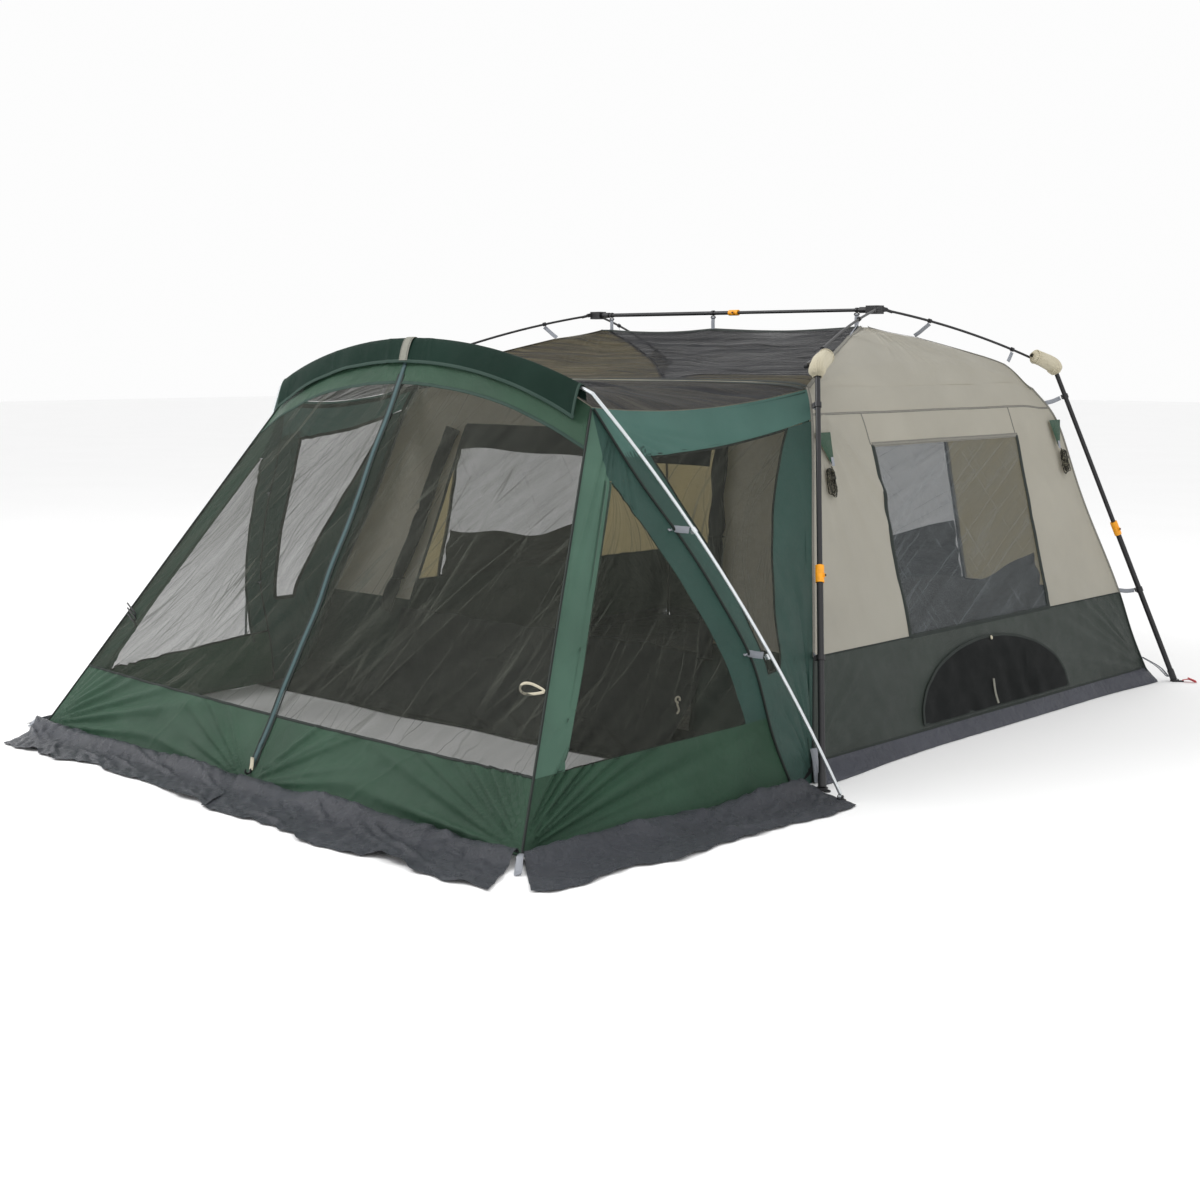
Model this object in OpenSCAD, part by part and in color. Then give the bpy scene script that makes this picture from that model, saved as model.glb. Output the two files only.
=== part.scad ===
// Cabin tent on a folding hub frame, with a screen room pitched on an arch at its front.
// X runs to the right, Y to the back and Z up, all in millimetres.
// The origin lies on the ground under the middle of the ridge.

/* [Ridge and hubs] */
// Height of the ridge tube and of the hub pivots
hub_h = 2100; // [2080:5:2120]
// Distance of a hub's pivots from the middle, along the ridge
hub_x = 1030; // [1020:5:1040]
// Distance of a hub's pivots from the ridge line
pivot_y = 45; // [42:1:50]
// Outer diameter of the left, outer half of the ridge
ridge_outer_d = 22; // [21:0.5:24]
// Outer diameter of the right, inner half of the ridge
ridge_inner_d = 18; // [16:0.5:18]
// Place of the ridge lock along the ridge
ridge_lock_x = 50; // [0:10:120]

/* [Roof poles] */
// Outer diameter of a roof pole
pole_d = 13; // [11:0.5:14]
// Upward bow of a roof pole at its middle
pole_bow = 26; // [15:1:35]
// Sideways step from a roof pole to its leg, along the elbow pin
elbow_step = 55; // [50:1:60]

/* [Legs] */
// Elbow's distance to the right of the middle
elbow_x = 1430; // [1420:5:1440]
// Elbow's distance behind the ridge
elbow_y = 1107; // [1100:1:1115]
// Elbow's height
elbow_h = 1825; // [1815:5:1835]
// Foot's distance to the right of the middle
foot_x = 1944; // [1935:1:1955]
// Foot's distance behind the ridge
foot_y = 1730; // [1725:1:1740]
// Outer diameter of the upper tube
upper_d = 25; // [24:0.5:25]
// Outer diameter of the lower tube, which slides over the upper one
lower_d = 30; // [30:0.5:31]
// Wall of the leg and ridge tubes
tube_wall = 1.5; // [1.2:0.1:1.8]
// Distance from the elbow to the middle of the leg lock
lock_at = 1020; // [1000:5:1040]
// Distance from the elbow to the upper fabric clip
clip_at = 206; // [195:1:208]
// Distance from the elbow to the lower fabric clip
low_clip_at = 1407; // [1380:1:1430]

/* [Cabin] */
// Half length of the floor, along the ridge
base_x = 1835; // [1830:1:1840]
// Half depth of the floor
base_y = 1645; // [1640:1:1650]
// Height of the shoulder where the walls meet the roof
shoulder_h = 1740; // [1735:1:1745]
// Half length of the shoulder
shoulder_x = 1395; // [1390:1:1400]
// Half depth of the shoulder
shoulder_y = 1089; // [1085:1:1092]
// Half length of the fabric ridge
peak_x = 930; // [920:5:940]
// Height of the fabric ridge
peak_h = 2010; // [2000:5:2015]
// Thickness given to every cloth panel
cloth = 3; // [2.5:0.5:3.5]
// Clear seam between neighbouring cloth panels
seam = 6; // [6:0.5:8]

/* [Windows and doors] */
// Half width of a side window
window_w = 680; // [600:10:700]
// Height of a window's lower edge
window_low = 520; // [500:10:560]
// Height of a window's upper edge
window_high = 1440; // [1350:10:1450]
// Half width of the back window
back_window_w = 700; // [500:10:800]
// Half width of the half-moon vent
vent_w = 715; // [650:5:720]
// Height of the vent's straight edge
vent_low = 105; // [100:5:120]
// Rise of the vent's round edge
vent_rise = 340; // [300:5:350]
// Half width of the doorway at its top
door_top_w = 900; // [800:10:920]
// Half width of the doorway at its sill
door_low_w = 1100; // [1000:10:1120]
// Height of the doorway's sill
sill_h = 90; // [80:5:120]
// Height of the doorway's top
door_h = 1480; // [1400:10:1500]

/* [Screen room] */
// Half width of the screen room's front edge on the ground
front_x = 1721; // [1700:1:1740]
// Distance of the front edge from the ridge line
front_y = 3333; // [3300:1:3350]
// Width of the ground skirt
skirt_w = 385; // [340:5:400]

/* [Arch] */
// Distance of the arch's feet from the ridge line
arch_y = 1820; // [1815:1:1825]
// Half span of the arch's feet
arch_foot_x = 2106; // [2095:1:2115]
// Half span of the arch's shoulders
arch_shoulder_x = 1100; // [1090:1:1110]
// Length up the arch's plane from its feet to its shoulders
arch_shoulder = 1761; // [1750:1:1770]
// Length up the arch's plane from its feet to its top
arch_top = 1996; // [1985:1:2000]
// Outward bow of the arch's two sides
arch_bow = 92; // [80:1:95]
// Forward lean of the arch
arch_lean = 15.16; // [15:0.02:15.3]
// Outer diameter of the arch pole
arch_d = 16; // [14:0.5:16]

/* [Guy ropes] */
// Diameter of a guy rope
rope_d = 5; // [4:0.5:5]
// Length of a rope hank
hank_len = 110; // [90:5:120]

/* [Hidden] */
$fn = 48;

// Colours
black = [0.10, 0.10, 0.11];
steel_black = [0.16, 0.16, 0.17];
orange = [0.94, 0.60, 0.12];
silver = [0.72, 0.73, 0.75];
beige = [0.72, 0.70, 0.64];
cream = [0.86, 0.82, 0.70];
green = [0.13, 0.31, 0.25];
charcoal = [0.22, 0.22, 0.25];
mesh_black = [0.16, 0.16, 0.16];
red = [0.78, 0.12, 0.16];
webbing = [0.60, 0.62, 0.66];
olive = [0.22, 0.20, 0.14];

// Fits
slide_gap = 0.5;
pin_gap = 0.3;

// Directions and frames
function unit(v) = v / norm(v);
function axes(o, x, z) = let (y = cross(z, x)) [
    [x[0], y[0], z[0], o[0]],
    [x[1], y[1], z[1], o[1]],
    [x[2], y[2], z[2], o[2]],
    [0, 0, 0, 1]
];

// The back right corner of the frame; the other corners mirror it
elbow = [elbow_x, elbow_y, elbow_h];
foot = [foot_x, foot_y, 0];
pivot = [hub_x, pivot_y, hub_h];
leg_dir = unit(foot - elbow);
leg_len = norm(foot - elbow);
function hinge_for(end) = unit(cross(unit(end - pivot), leg_dir));
// A roof pole ends beside the elbow, so its end is found in two rounds from the elbow itself
pole_end_first = elbow + elbow_step * hinge_for(elbow);
pole_end_second = elbow + elbow_step * hinge_for(pole_end_first);
pole_end = elbow + elbow_step * hinge_for(pole_end_second);
pole_dir = unit(pole_end - pivot);
pole_len = norm(pole_end - pivot);
pole_side = unit(cross(pole_dir, [0, 0, 1]));
pole_up = cross(pole_side, pole_dir);
hinge_dir = unit(cross(pole_dir, leg_dir));

// Hub
hub_eye_neck = 14;
hub_pin_d = 6;
hub_eye_d = 20;
hub_eye_w = 10;
hub_plate_w = 4;
socket_d = 32;
socket_depth = 50;
hub_in_x = hub_x - 130;
hub_socket_len = 60;
hub_block = [75, 60, 44];

ridge_clip_spots = [50 - peak_x, -100, peak_x - 50];

// Elbow
elbow_pin_d = 8;
elbow_eye_d = 26;
elbow_eye_w = 18;
leg_head_d = 28;
leg_head_w = 22;
cover_len = 190;
cover_r = 50;
cover_wall = 5;
cover_neck = 34;

// Leg
upper_end = lock_at + 90;
lock_len = 80;
lock_r = 20;
lower_start = lock_at - lock_len / 2 + 25;
lower_end = leg_len - 35;
lower_r_in = upper_d / 2 + slide_gap;
boss_r = 9;
boss_out = 26;
button_r = 5;
button_out = 29.5;
button_in = 21.8;
foot_r = 25;
foot_plate = 12;
foot_socket = 50;
clip_len = 24;

// Cabin
lean_x = atan2(base_x - shoulder_x, shoulder_h);
lean_y = atan2(base_y - shoulder_y, shoulder_h);
slope_x = shoulder_h / cos(lean_x);
slope_y = shoulder_h / cos(lean_y);
floor_t = 4;
pane_gap = 0.6;

// Screen room cloth: points on the arch's plane, from the ground up to the shoulder and the top
cloth_side = [[1850, 6], [1788, 231], [1739, 573], [1600, 860], [1467, 1073], [1268, 1339], [1080, 1640]];
cloth_top = [[1080, 1640], [860, 1748], [600, 1835], [300, 1888], [0, 1905]];
function arch_at(z) = -arch_y - z * tan(arch_lean);
function on_arch(p) = [p[0], arch_at(p[1]), p[1]];
function flip_x(p) = [-p[0], p[1], p[2]];
function mix(a, b, t) = a + (b - a) * t;
function last(list) = list[len(list) - 1];
function backwards(list) = [for (k = [len(list) - 1 : -1 : 0]) list[k]];

// Arch pole
arch_foot_v = 16;
arch_eye_w = 14;
arch_top_r = (pow(arch_shoulder_x, 2) + pow(arch_top - arch_shoulder, 2)) / (2 * (arch_top - arch_shoulder));
function arch_v(x) = arch_top - arch_top_r + sqrt(pow(arch_top_r, 2) - x * x);
function arch_z(x) = arch_v(x) * cos(arch_lean);
arch_clip_spots = [[1543, 1170, -34], [1837, 628, -25]];

// Guy ropes
rope_z = 1340;
hank_w = 48;
hank_t = 26;

// ---------- shared shapes ----------

module ring(r_out, r_in) {
    difference() {
        circle(r = r_out, $fn = 32);
        circle(r = r_in, $fn = 32);
    }
}

// A straight tube from height a to height b
module tube(a, b, r_out, r_in) {
    translate([0, 0, a]) linear_extrude(b - a) ring(r_out, r_in);
}

// A tube that starts at the origin, runs along Z over its chord and bows towards X
module arc_tube(chord, bow, r_out, r_in) {
    radius = (chord * chord / 4 + bow * bow) / (2 * bow);
    half = asin(chord / 2 / radius);
    translate([bow - radius, 0, chord / 2])
        rotate([90, 0, 0])
        rotate([0, 0, -half])
        rotate_extrude(angle = 2 * half, $fn = 720)
        translate([radius, 0]) ring(r_out, r_in);
}

// A cloth surface through rows of points, made solid along the vector back
module sheet(rows, back) {
    n = len(rows);
    m = len(rows[0]);
    face = [for (row = rows) each row];
    points = concat(face, [for (p = face) p + back]);
    normal = cross(rows[0][1] - rows[0][0], rows[1][0] - rows[0][0]);
    outward = normal * back < 0;
    function at(i, j, side = 0) = (side * n + i) * m + j;
    cells = [for (i = [0 : n - 2], j = [0 : m - 2]) [i, j]];
    front_faces = [for (c = cells) each [
        [at(c[0], c[1]), at(c[0] + 1, c[1]), at(c[0] + 1, c[1] + 1)],
        [at(c[0], c[1]), at(c[0] + 1, c[1] + 1), at(c[0], c[1] + 1)]
    ]];
    back_faces = [for (c = cells) each [
        [at(c[0] + 1, c[1] + 1, 1), at(c[0] + 1, c[1], 1), at(c[0], c[1], 1)],
        [at(c[0], c[1] + 1, 1), at(c[0] + 1, c[1] + 1, 1), at(c[0], c[1], 1)]
    ]];
    row_faces = [for (j = [0 : m - 2]) each [
        [at(0, j), at(0, j + 1), at(0, j + 1, 1), at(0, j, 1)],
        [at(n - 1, j + 1), at(n - 1, j), at(n - 1, j, 1), at(n - 1, j + 1, 1)]
    ]];
    column_faces = [for (i = [0 : n - 2]) each [
        [at(i + 1, 0), at(i, 0), at(i, 0, 1), at(i + 1, 0, 1)],
        [at(i, m - 1), at(i + 1, m - 1), at(i + 1, m - 1, 1), at(i, m - 1, 1)]
    ]];
    faces = concat(front_faces, back_faces, row_faces, column_faces);
    polyhedron(points, outward ? faces : [for (f = faces) backwards(f)]);
}

// Places a back right piece at corner "fr", "fl", "br" or "bl"
module corner(spot) {
    mirror([spot[1] == "l" ? 1 : 0, 0, 0])
        mirror([0, spot[0] == "f" ? 1 : 0, 0])
        children();
}

// Local Z runs out along the roof pole and local X points up from it
module along_pole() {
    multmatrix(axes(pivot, pole_up, pole_dir)) children();
}

// Local Z runs down the leg from the elbow and local X points away from the roof pole
module along_leg() {
    multmatrix(axes(elbow, -hinge_dir, leg_dir)) children();
}

// Local X runs to the right and local Z up the arch's leaning plane
module on_arch_plane() {
    multmatrix(axes([0, -arch_y, 0], [1, 0, 0], [0, -sin(arch_lean), cos(arch_lean)])) children();
}

// Draws a flat outline on the right wall, X along the wall and Y up its slope
module on_right_wall(out = 0) {
    multmatrix(axes([base_x, 0, 0], [0, 1, 0], [cos(lean_x), 0, sin(lean_x)]))
        translate([0, 0, out - cloth]) children();
}

// Draws a flat outline on the back wall
module on_back_wall(out = 0) {
    multmatrix(axes([0, base_y, 0], [-1, 0, 0], [0, cos(lean_y), sin(lean_y)]))
        translate([0, 0, out - cloth]) children();
}

// ---------- ridge and hubs ----------

module ridge_tube_outer() {
    color(steel_black)
        translate([0, 0, hub_h]) rotate([0, 90, 0])
        tube(-hub_in_x - socket_depth, ridge_lock_x, ridge_outer_d / 2, ridge_outer_d / 2 - tube_wall);
}

module ridge_tube_inner() {
    color(steel_black)
        translate([0, 0, hub_h]) rotate([0, 90, 0])
        tube(ridge_lock_x - 120, hub_in_x + socket_depth, ridge_inner_d / 2, ridge_inner_d / 2 - tube_wall);
}

module ridge_lock() {
    half = 32;
    color(orange) translate([ridge_lock_x, 0, hub_h]) rotate([0, 90, 0]) {
        difference() {
            union() {
                translate([0, 0, -half]) cylinder(r = 16, h = 2 * half);
                translate([0, 0, 6]) rotate([90, 0, 0]) cylinder(r = boss_r, h = boss_out - 4);
            }
            translate([0, 0, -half - 1]) cylinder(r = ridge_outer_d / 2 + 0.1, h = half + 1.1);
            translate([0, 0, -1]) cylinder(r = ridge_inner_d / 2 + 0.1, h = half + 2);
            translate([0, -boss_out, 6]) rotate([-90, 0, 0]) cylinder(r = button_r + pin_gap, h = 12);
        }
    }
}

module ridge_button() {
    color(black)
        translate([ridge_lock_x + 6, -button_out + 4, hub_h]) rotate([-90, 0, 0]) cylinder(r = button_r, h = 7);
}

// Hooks over the ridge tube, with the webbing that carries the cloth ridge
module ridge_clips() {
    for (x = ridge_clip_spots) {
        tube_r = (x < ridge_lock_x ? ridge_outer_d : ridge_inner_d) / 2;
        color(black) translate([x, 0, hub_h]) rotate([0, 90, 0]) tube(-8, 8, tube_r + 5, tube_r + 0.2);
        color(webbing) translate([x - 12, -1, peak_h + 4]) cube([24, 2, hub_h - peak_h - tube_r - 9]);
    }
}

module hub_right() {
    color(black) hub(ridge_inner_d);
}

module hub_left() {
    color(black) mirror([1, 0, 0]) hub(ridge_outer_d);
}

// A ridge socket, the block behind it and the forks of its two roof poles
module hub(ridge_d) {
    difference() {
        union() {
            translate([hub_in_x, 0, hub_h]) rotate([0, 90, 0]) cylinder(d = socket_d, h = hub_socket_len);
            translate([hub_in_x + hub_socket_len - 5, -hub_block[1] / 2, hub_h - hub_block[2] / 2])
                cube(hub_block);
            for (side = [0, 1]) mirror([0, side, 0]) along_pole() hub_fork();
        }
        translate([hub_in_x - 1, 0, hub_h]) rotate([0, 90, 0]) cylinder(d = ridge_d + 0.2, h = socket_depth + 1);
    }
}

// Two cheeks and the pin that a roof pole swings on
module hub_fork() {
    cheek = hub_eye_w / 2 + pin_gap;
    for (side = [-1, 1])
        translate([0, side * (cheek + hub_plate_w / 2), 0]) {
            rotate([90, 0, 0]) cylinder(d = hub_eye_d + 2, h = hub_plate_w, center = true);
            translate([0, 0, -17]) cube([hub_eye_d, hub_plate_w, 34], center = true);
        }
    rotate([90, 0, 0]) cylinder(d = hub_pin_d, h = 2 * (cheek + hub_plate_w + 2), center = true);
}

// ---------- one corner of the frame ----------

module roof_pole(spot) {
    straight = 24;
    color(steel_black) corner(spot) {
        along_pole() difference() {
            union() {
                rotate([90, 0, 0]) cylinder(d = hub_eye_d, h = hub_eye_w, center = true);
                translate([-6, -hub_eye_w / 2, 0]) cube([12, hub_eye_w, hub_eye_neck]);
                translate([0, 0, hub_eye_neck - 2]) cylinder(d = pole_d + 3, h = 33);
                translate([0, 0, straight])
                    arc_tube(pole_len - 2 * straight, pole_bow, pole_d / 2, pole_d / 2 - tube_wall);
                translate([0, 0, pole_len - 75]) cylinder(d = pole_d + 7, h = 70);
                for (at = [0.26, 0.78])
                    translate([pole_bow * (1 - pow(2 * at - 1, 2)), 0, at * pole_len])
                        tube(-8, 8, pole_d / 2 + 5, pole_d / 2 - 0.5);
            }
            rotate([90, 0, 0]) cylinder(d = hub_pin_d + pin_gap, h = hub_eye_w + 2, center = true);
            translate([0, 0, 52]) cylinder(d = 4, h = 8);
        }
        along_leg() rotate([0, 90, 0]) {
            translate([0, 0, -elbow_step - elbow_eye_w / 2]) cylinder(d = elbow_eye_d, h = elbow_eye_w);
            translate([0, 0, -elbow_step]) cylinder(d = elbow_pin_d, h = elbow_step + leg_head_w / 2 + 6);
            translate([0, 0, leg_head_w / 2 + pin_gap]) cylinder(d = elbow_pin_d + 8, h = 5);
        }
    }
}

// A gathered cloth sock over the elbow end of a roof pole, hollow and open towards the elbow
module elbow_cover(spot) {
    shift = -elbow_step * 0.35;
    start = pole_len - cover_len - 26;
    profile = [
        for (t = [0 : 0.125 : 1])
            [cover_neck + (cover_r - cover_neck) * sin(112 * min(1, t * 1.15)), t * cover_len]
    ];
    color(cream) corner(spot)
        multmatrix(axes(pivot + shift * hinge_dir, hinge_dir, pole_dir))
        translate([0, 0, start])
        rotate_extrude($fn = 48)
        polygon(concat(profile, [for (p = backwards(profile)) [p[0] - cover_wall, p[1]]]));
}

module leg_upper(spot) {
    color(steel_black) corner(spot) along_leg() difference() {
        union() {
            rotate([0, 90, 0]) cylinder(d = leg_head_d, h = leg_head_w, center = true);
            translate([0, 0, 10]) cylinder(d = upper_d, h = upper_end - 10);
            translate([0, 0, clip_at - clip_len / 2]) cylinder(d = upper_d + 9, h = clip_len);
            translate([-26, -5, clip_at - clip_len / 2]) cube([20, 10, clip_len]);
        }
        rotate([0, 90, 0]) cylinder(d = elbow_pin_d + pin_gap, h = leg_head_w + 2, center = true);
        translate([0, 0, 30]) cylinder(d = upper_d - 2 * tube_wall, h = upper_end);
    }
}

module leg_lower(spot) {
    color(steel_black) corner(spot) along_leg() {
        tube(lower_start, lower_end, lower_d / 2, lower_r_in);
        difference() {
            union() {
                translate([0, 0, low_clip_at - clip_len / 2]) cylinder(d = lower_d + 9, h = clip_len);
                translate([-30, -5, low_clip_at - clip_len / 2]) cube([20, 10, clip_len]);
            }
            translate([0, 0, low_clip_at - clip_len]) cylinder(d = lower_d - 0.5, h = 2 * clip_len);
        }
    }
}

module leg_lock(spot) {
    top = lock_at - lock_len / 2;
    color(orange) corner(spot) along_leg() difference() {
        union() {
            translate([0, 0, top]) cylinder(r = lock_r, h = lock_len);
            translate([0, 0, lock_at + 8]) rotate([0, 90, 0]) cylinder(r = boss_r, h = boss_out);
        }
        translate([0, 0, top - 1]) cylinder(r = lower_r_in + 0.1, h = lock_len + 2);
        translate([0, 0, lower_start - 0.1]) cylinder(d = lower_d + 0.2, h = lock_len);
        translate([button_in - 4.4, 0, lock_at + 8]) rotate([0, 90, 0]) cylinder(r = button_r + pin_gap, h = 12);
    }
}

module leg_button(spot) {
    color(black) corner(spot) along_leg()
        translate([button_in, 0, lock_at + 8]) rotate([0, 90, 0]) cylinder(r = button_r, h = button_out - button_in);
}

module leg_foot(spot) {
    color(black) corner(spot) {
        difference() {
            union() {
                translate([foot_x, foot_y, 0]) cylinder(r = foot_r, h = foot_plate);
                along_leg() translate([0, 0, lower_end - foot_socket + 12])
                    cylinder(d = lower_d + 7, h = foot_socket + 12);
            }
            along_leg() translate([0, 0, lower_end - foot_socket])
                cylinder(d = lower_d + 0.2, h = foot_socket + 0.1);
            translate([foot_x - 100, foot_y - 100, -50]) cube([200, 200, 50]);
        }
        translate([foot_x + 34, foot_y + 12, 0]) tube(0, 6, 16, 9);
    }
}

// ---------- arch ----------

// An arch tube from p to q in the arch's plane, each given as X and the length up the plane
module arch_run(p, q, bow) {
    translate([p[0], 0, p[1]])
        rotate([0, atan2(q[0] - p[0], q[1] - p[1]), 0])
        arc_tube(norm(q - p), bow, arch_d / 2, arch_d / 2 - 2);
}

module arch_pole() {
    knee = [arch_shoulder_x, arch_shoulder];
    toe = [arch_foot_x, arch_foot_v + 18];
    color(silver) on_arch_plane() {
        arch_run(knee, [-knee[0], knee[1]], arch_top - arch_shoulder);
        for (side = [0, 1]) mirror([side, 0, 0]) {
            arch_run(toe, knee, arch_bow);
            translate([knee[0], 0, knee[1]]) sphere(d = arch_d + 0.4);
            difference() {
                union() {
                    translate([toe[0], 0, arch_foot_v]) rotate([0, 90, 0])
                        cylinder(d = 18, h = arch_eye_w, center = true);
                    translate([toe[0], 0, arch_foot_v]) cylinder(d = 11, h = toe[1] - arch_foot_v);
                    translate([toe[0], 0, toe[1]]) sphere(d = arch_d + 0.4);
                }
                translate([toe[0], 0, arch_foot_v]) rotate([0, 90, 0])
                    cylinder(d = hub_pin_d + pin_gap, h = arch_eye_w + 2, center = true);
            }
            for (spot = arch_clip_spots)
                translate([spot[0], 0, spot[1]]) rotate([0, spot[2], 0]) {
                    tube(-12, 12, arch_d / 2 + 4, arch_d / 2 - 1);
                    translate([-arch_d / 2 - 13, -4, -8]) cube([10, 8, 16]);
                }
        }
    }
}

// Ground plates with the pins that the arch leans on
module arch_feet() {
    pin_y = -arch_y - sin(arch_lean) * arch_foot_v;
    pin_z = cos(arch_lean) * arch_foot_v;
    color(black) for (side = [0, 1]) mirror([side, 0, 0]) translate([arch_foot_x, pin_y, 0]) {
        cylinder(r = 24, h = 4);
        for (side = [-1, 1]) translate([side * (arch_eye_w / 2 + pin_gap + 2), 0, 0]) {
            translate([0, 0, 8]) cube([4, 18, 16], center = true);
            translate([0, 0, pin_z]) rotate([0, 90, 0]) cylinder(d = 18, h = 4, center = true);
        }
        translate([0, 0, pin_z]) rotate([0, 90, 0]) cylinder(d = hub_pin_d, h = arch_eye_w + 12, center = true);
    }
}

// The sleeve panel over the top of the arch
module arch_hood() {
    stations = [for (x = [-1050 : 150 : 1050]) [x, arch_at(arch_z(x)), arch_z(x)]];
    color(green) sheet([
        [for (p = stations) p + [0, 14, 22]],
        [for (p = stations) p + [0, -20, 13]],
        [for (p = stations) p + [0, -62, -92]]
    ], [0, 2.4, -2.6]);
}

// ---------- cabin cloth ----------

// A wall's outline: a trapezium with clear seams at its sides and top
module wall_outline(low, high, slope) {
    polygon([
        [-low + seam, 3], [low - seam, 3],
        [high - seam, slope - seam], [-high + seam, slope - seam]
    ]);
}

module window_outline(half, lean, grow = 0) {
    low = window_low / cos(lean);
    high = window_high / cos(lean);
    translate([-half - grow, low - grow]) square([2 * (half + grow), high - low + 2 * grow]);
}

module vent_outline() {
    translate([0, vent_low / cos(lean_x)]) polygon([
        for (k = [0 : 12]) [vent_w * cos(15 * k), vent_rise * sin(15 * k)]
    ]);
}

// A small stiffened triangle that a guy rope hangs from, on a stem off the wall
module rope_tab(spot) {
    corner(spot) {
        on_right_wall(18) translate([shoulder_y + 10, rope_z / cos(lean_x)])
            linear_extrude(cloth) polygon([[-50, 40], [20, 40], [4, 2], [-12, 2]]);
        on_right_wall(0) translate([shoulder_y - 28, rope_z / cos(lean_x) + 22]) cube([14, 14, 20]);
    }
}

module side_wall() {
    color(beige) {
        on_right_wall() linear_extrude(cloth) difference() {
            wall_outline(base_y, shoulder_y, slope_x);
            window_outline(window_w, lean_x);
        }
        for (spot = ["fr", "br"]) rope_tab(spot);
    }
}

module wall_right() {
    side_wall();
}

module wall_left() {
    mirror([1, 0, 0]) side_wall();
}

module wall_back() {
    color(beige) on_back_wall() linear_extrude(cloth) difference() {
        wall_outline(base_x, shoulder_x, slope_y);
        window_outline(back_window_w, lean_y);
    }
}

module wall_front() {
    low = sill_h / cos(lean_y);
    high = door_h / cos(lean_y);
    color(beige) mirror([0, 1, 0]) on_back_wall() linear_extrude(cloth) difference() {
        wall_outline(base_x, shoulder_x, slope_y);
        polygon([[-door_low_w, low], [door_low_w, low], [door_top_w, high], [-door_top_w, high]]);
    }
}

module windows() {
    color(mesh_black) {
        for (side = [0, 1]) mirror([side, 0, 0])
            on_right_wall(-1) linear_extrude(cloth - 2) window_outline(window_w, lean_x, -pane_gap);
        on_back_wall(-1) linear_extrude(cloth - 2) window_outline(back_window_w, lean_y, -pane_gap);
    }
}

module vent_flaps() {
    color(mesh_black) for (side = [0, 1]) mirror([side, 0, 0])
        on_right_wall(cloth + 1) linear_extrude(2) vent_outline();
}

// Sewn floor
module floor() {
    inset = 14;
    color(charcoal) linear_extrude(floor_t)
        square([2 * (base_x - inset), 2 * (base_y - inset)], center = true);
}

module roof_mesh() {
    color(mesh_black) for (side = [0, 1]) mirror([0, side, 0])
        sheet([
            [[-peak_x + 8, -seam, peak_h - 2], [peak_x - 8, -seam, peak_h - 2]],
            [[-shoulder_x + 10, -shoulder_y + 4, shoulder_h], [shoulder_x - 10, -shoulder_y + 4, shoulder_h]]
        ], [0, 0, -cloth]);
}

module roof_hips() {
    color(beige) for (side = [0, 1]) mirror([side, 0, 0])
        sheet([
            [[peak_x + 20, -34, peak_h - 12], [peak_x + 20, 34, peak_h - 12]],
            [[shoulder_x - 5, -shoulder_y + 24, shoulder_h], [shoulder_x - 5, shoulder_y - 24, shoulder_h]]
        ], [0, 0, -cloth]);
}

// The two halves of the front door, rolled up and tied inside the doorway's sides
module door_rolls() {
    roll_r = 38;
    rise = door_h - 430;
    color(mesh_black) for (side = [0, 1]) mirror([side, 0, 0])
        mirror([0, 1, 0]) on_back_wall(-roll_r - 4)
        translate([-door_top_w - 30, (door_h - 40) / cos(lean_y), 0])
        rotate([0, 0, -atan2(door_low_w - door_top_w, door_h)])
        rotate([90, 0, 0]) cylinder(r = roll_r, h = rise);
}

// The dark lower door panel, let down and lying out over the sill
module door_curtain() {
    half = door_low_w - 10;
    color(mesh_black) sheet([
        [[-half, -base_y + 470 * tan(lean_y) - 14, 470], [half, -base_y + 470 * tan(lean_y) - 14, 470]],
        [[-half, -base_y - 40, 150], [half, -base_y - 40, 150]],
        [[-half, -base_y - 285, 6], [half, -base_y - 285, 6]]
    ], [0, 3, -2]);
}

// ---------- screen room cloth ----------

top_right = on_arch(last(cloth_side));
front_corner = [front_x, -front_y, 3];

// Front wall, from its straight ground edge up to the arch
module screen_front() {
    half_top = [for (p = cloth_top) on_arch(p)];
    top = concat([for (p = half_top) flip_x(p)], [for (k = [len(half_top) - 2 : -1 : 0]) half_top[k]]);
    count = len(top) - 1;
    ground = [for (k = [0 : count]) mix(flip_x(front_corner), front_corner, k / count)];
    color(green) sheet([
        for (t = [0, 0.25, 0.5, 0.75, 1]) [for (k = [0 : count]) mix(ground[k], top[k], t)]
    ], [0, 3.4, -2]);
}

// Side wall, from the front fold over the arch seam to the cabin's corner
module screen_side() {
    count = len(cloth_side) - 1;
    cabin_low = [base_x, -base_y - 12, 6];
    cabin_high = [shoulder_x + 2, -shoulder_y - 12, shoulder_h - 14];
    fold_low = front_corner + [8, 10, 3];
    fold_high = top_right + [6, -30, -14];
    color(green) sheet([
        for (k = [0 : count]) let (seam_point = on_arch(cloth_side[k]), t = seam_point[2] / top_right[2]) [
            mix(fold_low, fold_high, t),
            seam_point + [6, 0, 0],
            mix(cabin_low, cabin_high, t)
        ]
    ], [-3.6, 0, -1.6]);
}

module screen_side_right() {
    screen_side();
}

module screen_side_left() {
    mirror([1, 0, 0]) screen_side();
}

// Mesh roof, slung from the arch back to the cabin's front shoulder
module screen_roof() {
    half_top = [for (p = cloth_top) on_arch(p)];
    top = concat([for (p = half_top) flip_x(p)], [for (k = [len(half_top) - 2 : -1 : 0]) half_top[k]]);
    count = len(top) - 1;
    eave = [for (k = [0 : count]) [
        (shoulder_x - 30) * (2 * k / count - 1), -shoulder_y - 14, shoulder_h + 4
    ]];
    color(mesh_black) sheet([
        for (t = [0, 0.33, 0.67, 1]) [for (k = [0 : count])
            mix([top[k][0] * 0.975, top[k][1] + 14, top[k][2] + 7], eave[k], t) - [0, 0, 60 * t * (1 - t)]]
    ], [0, 0, -cloth]);
}

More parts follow.
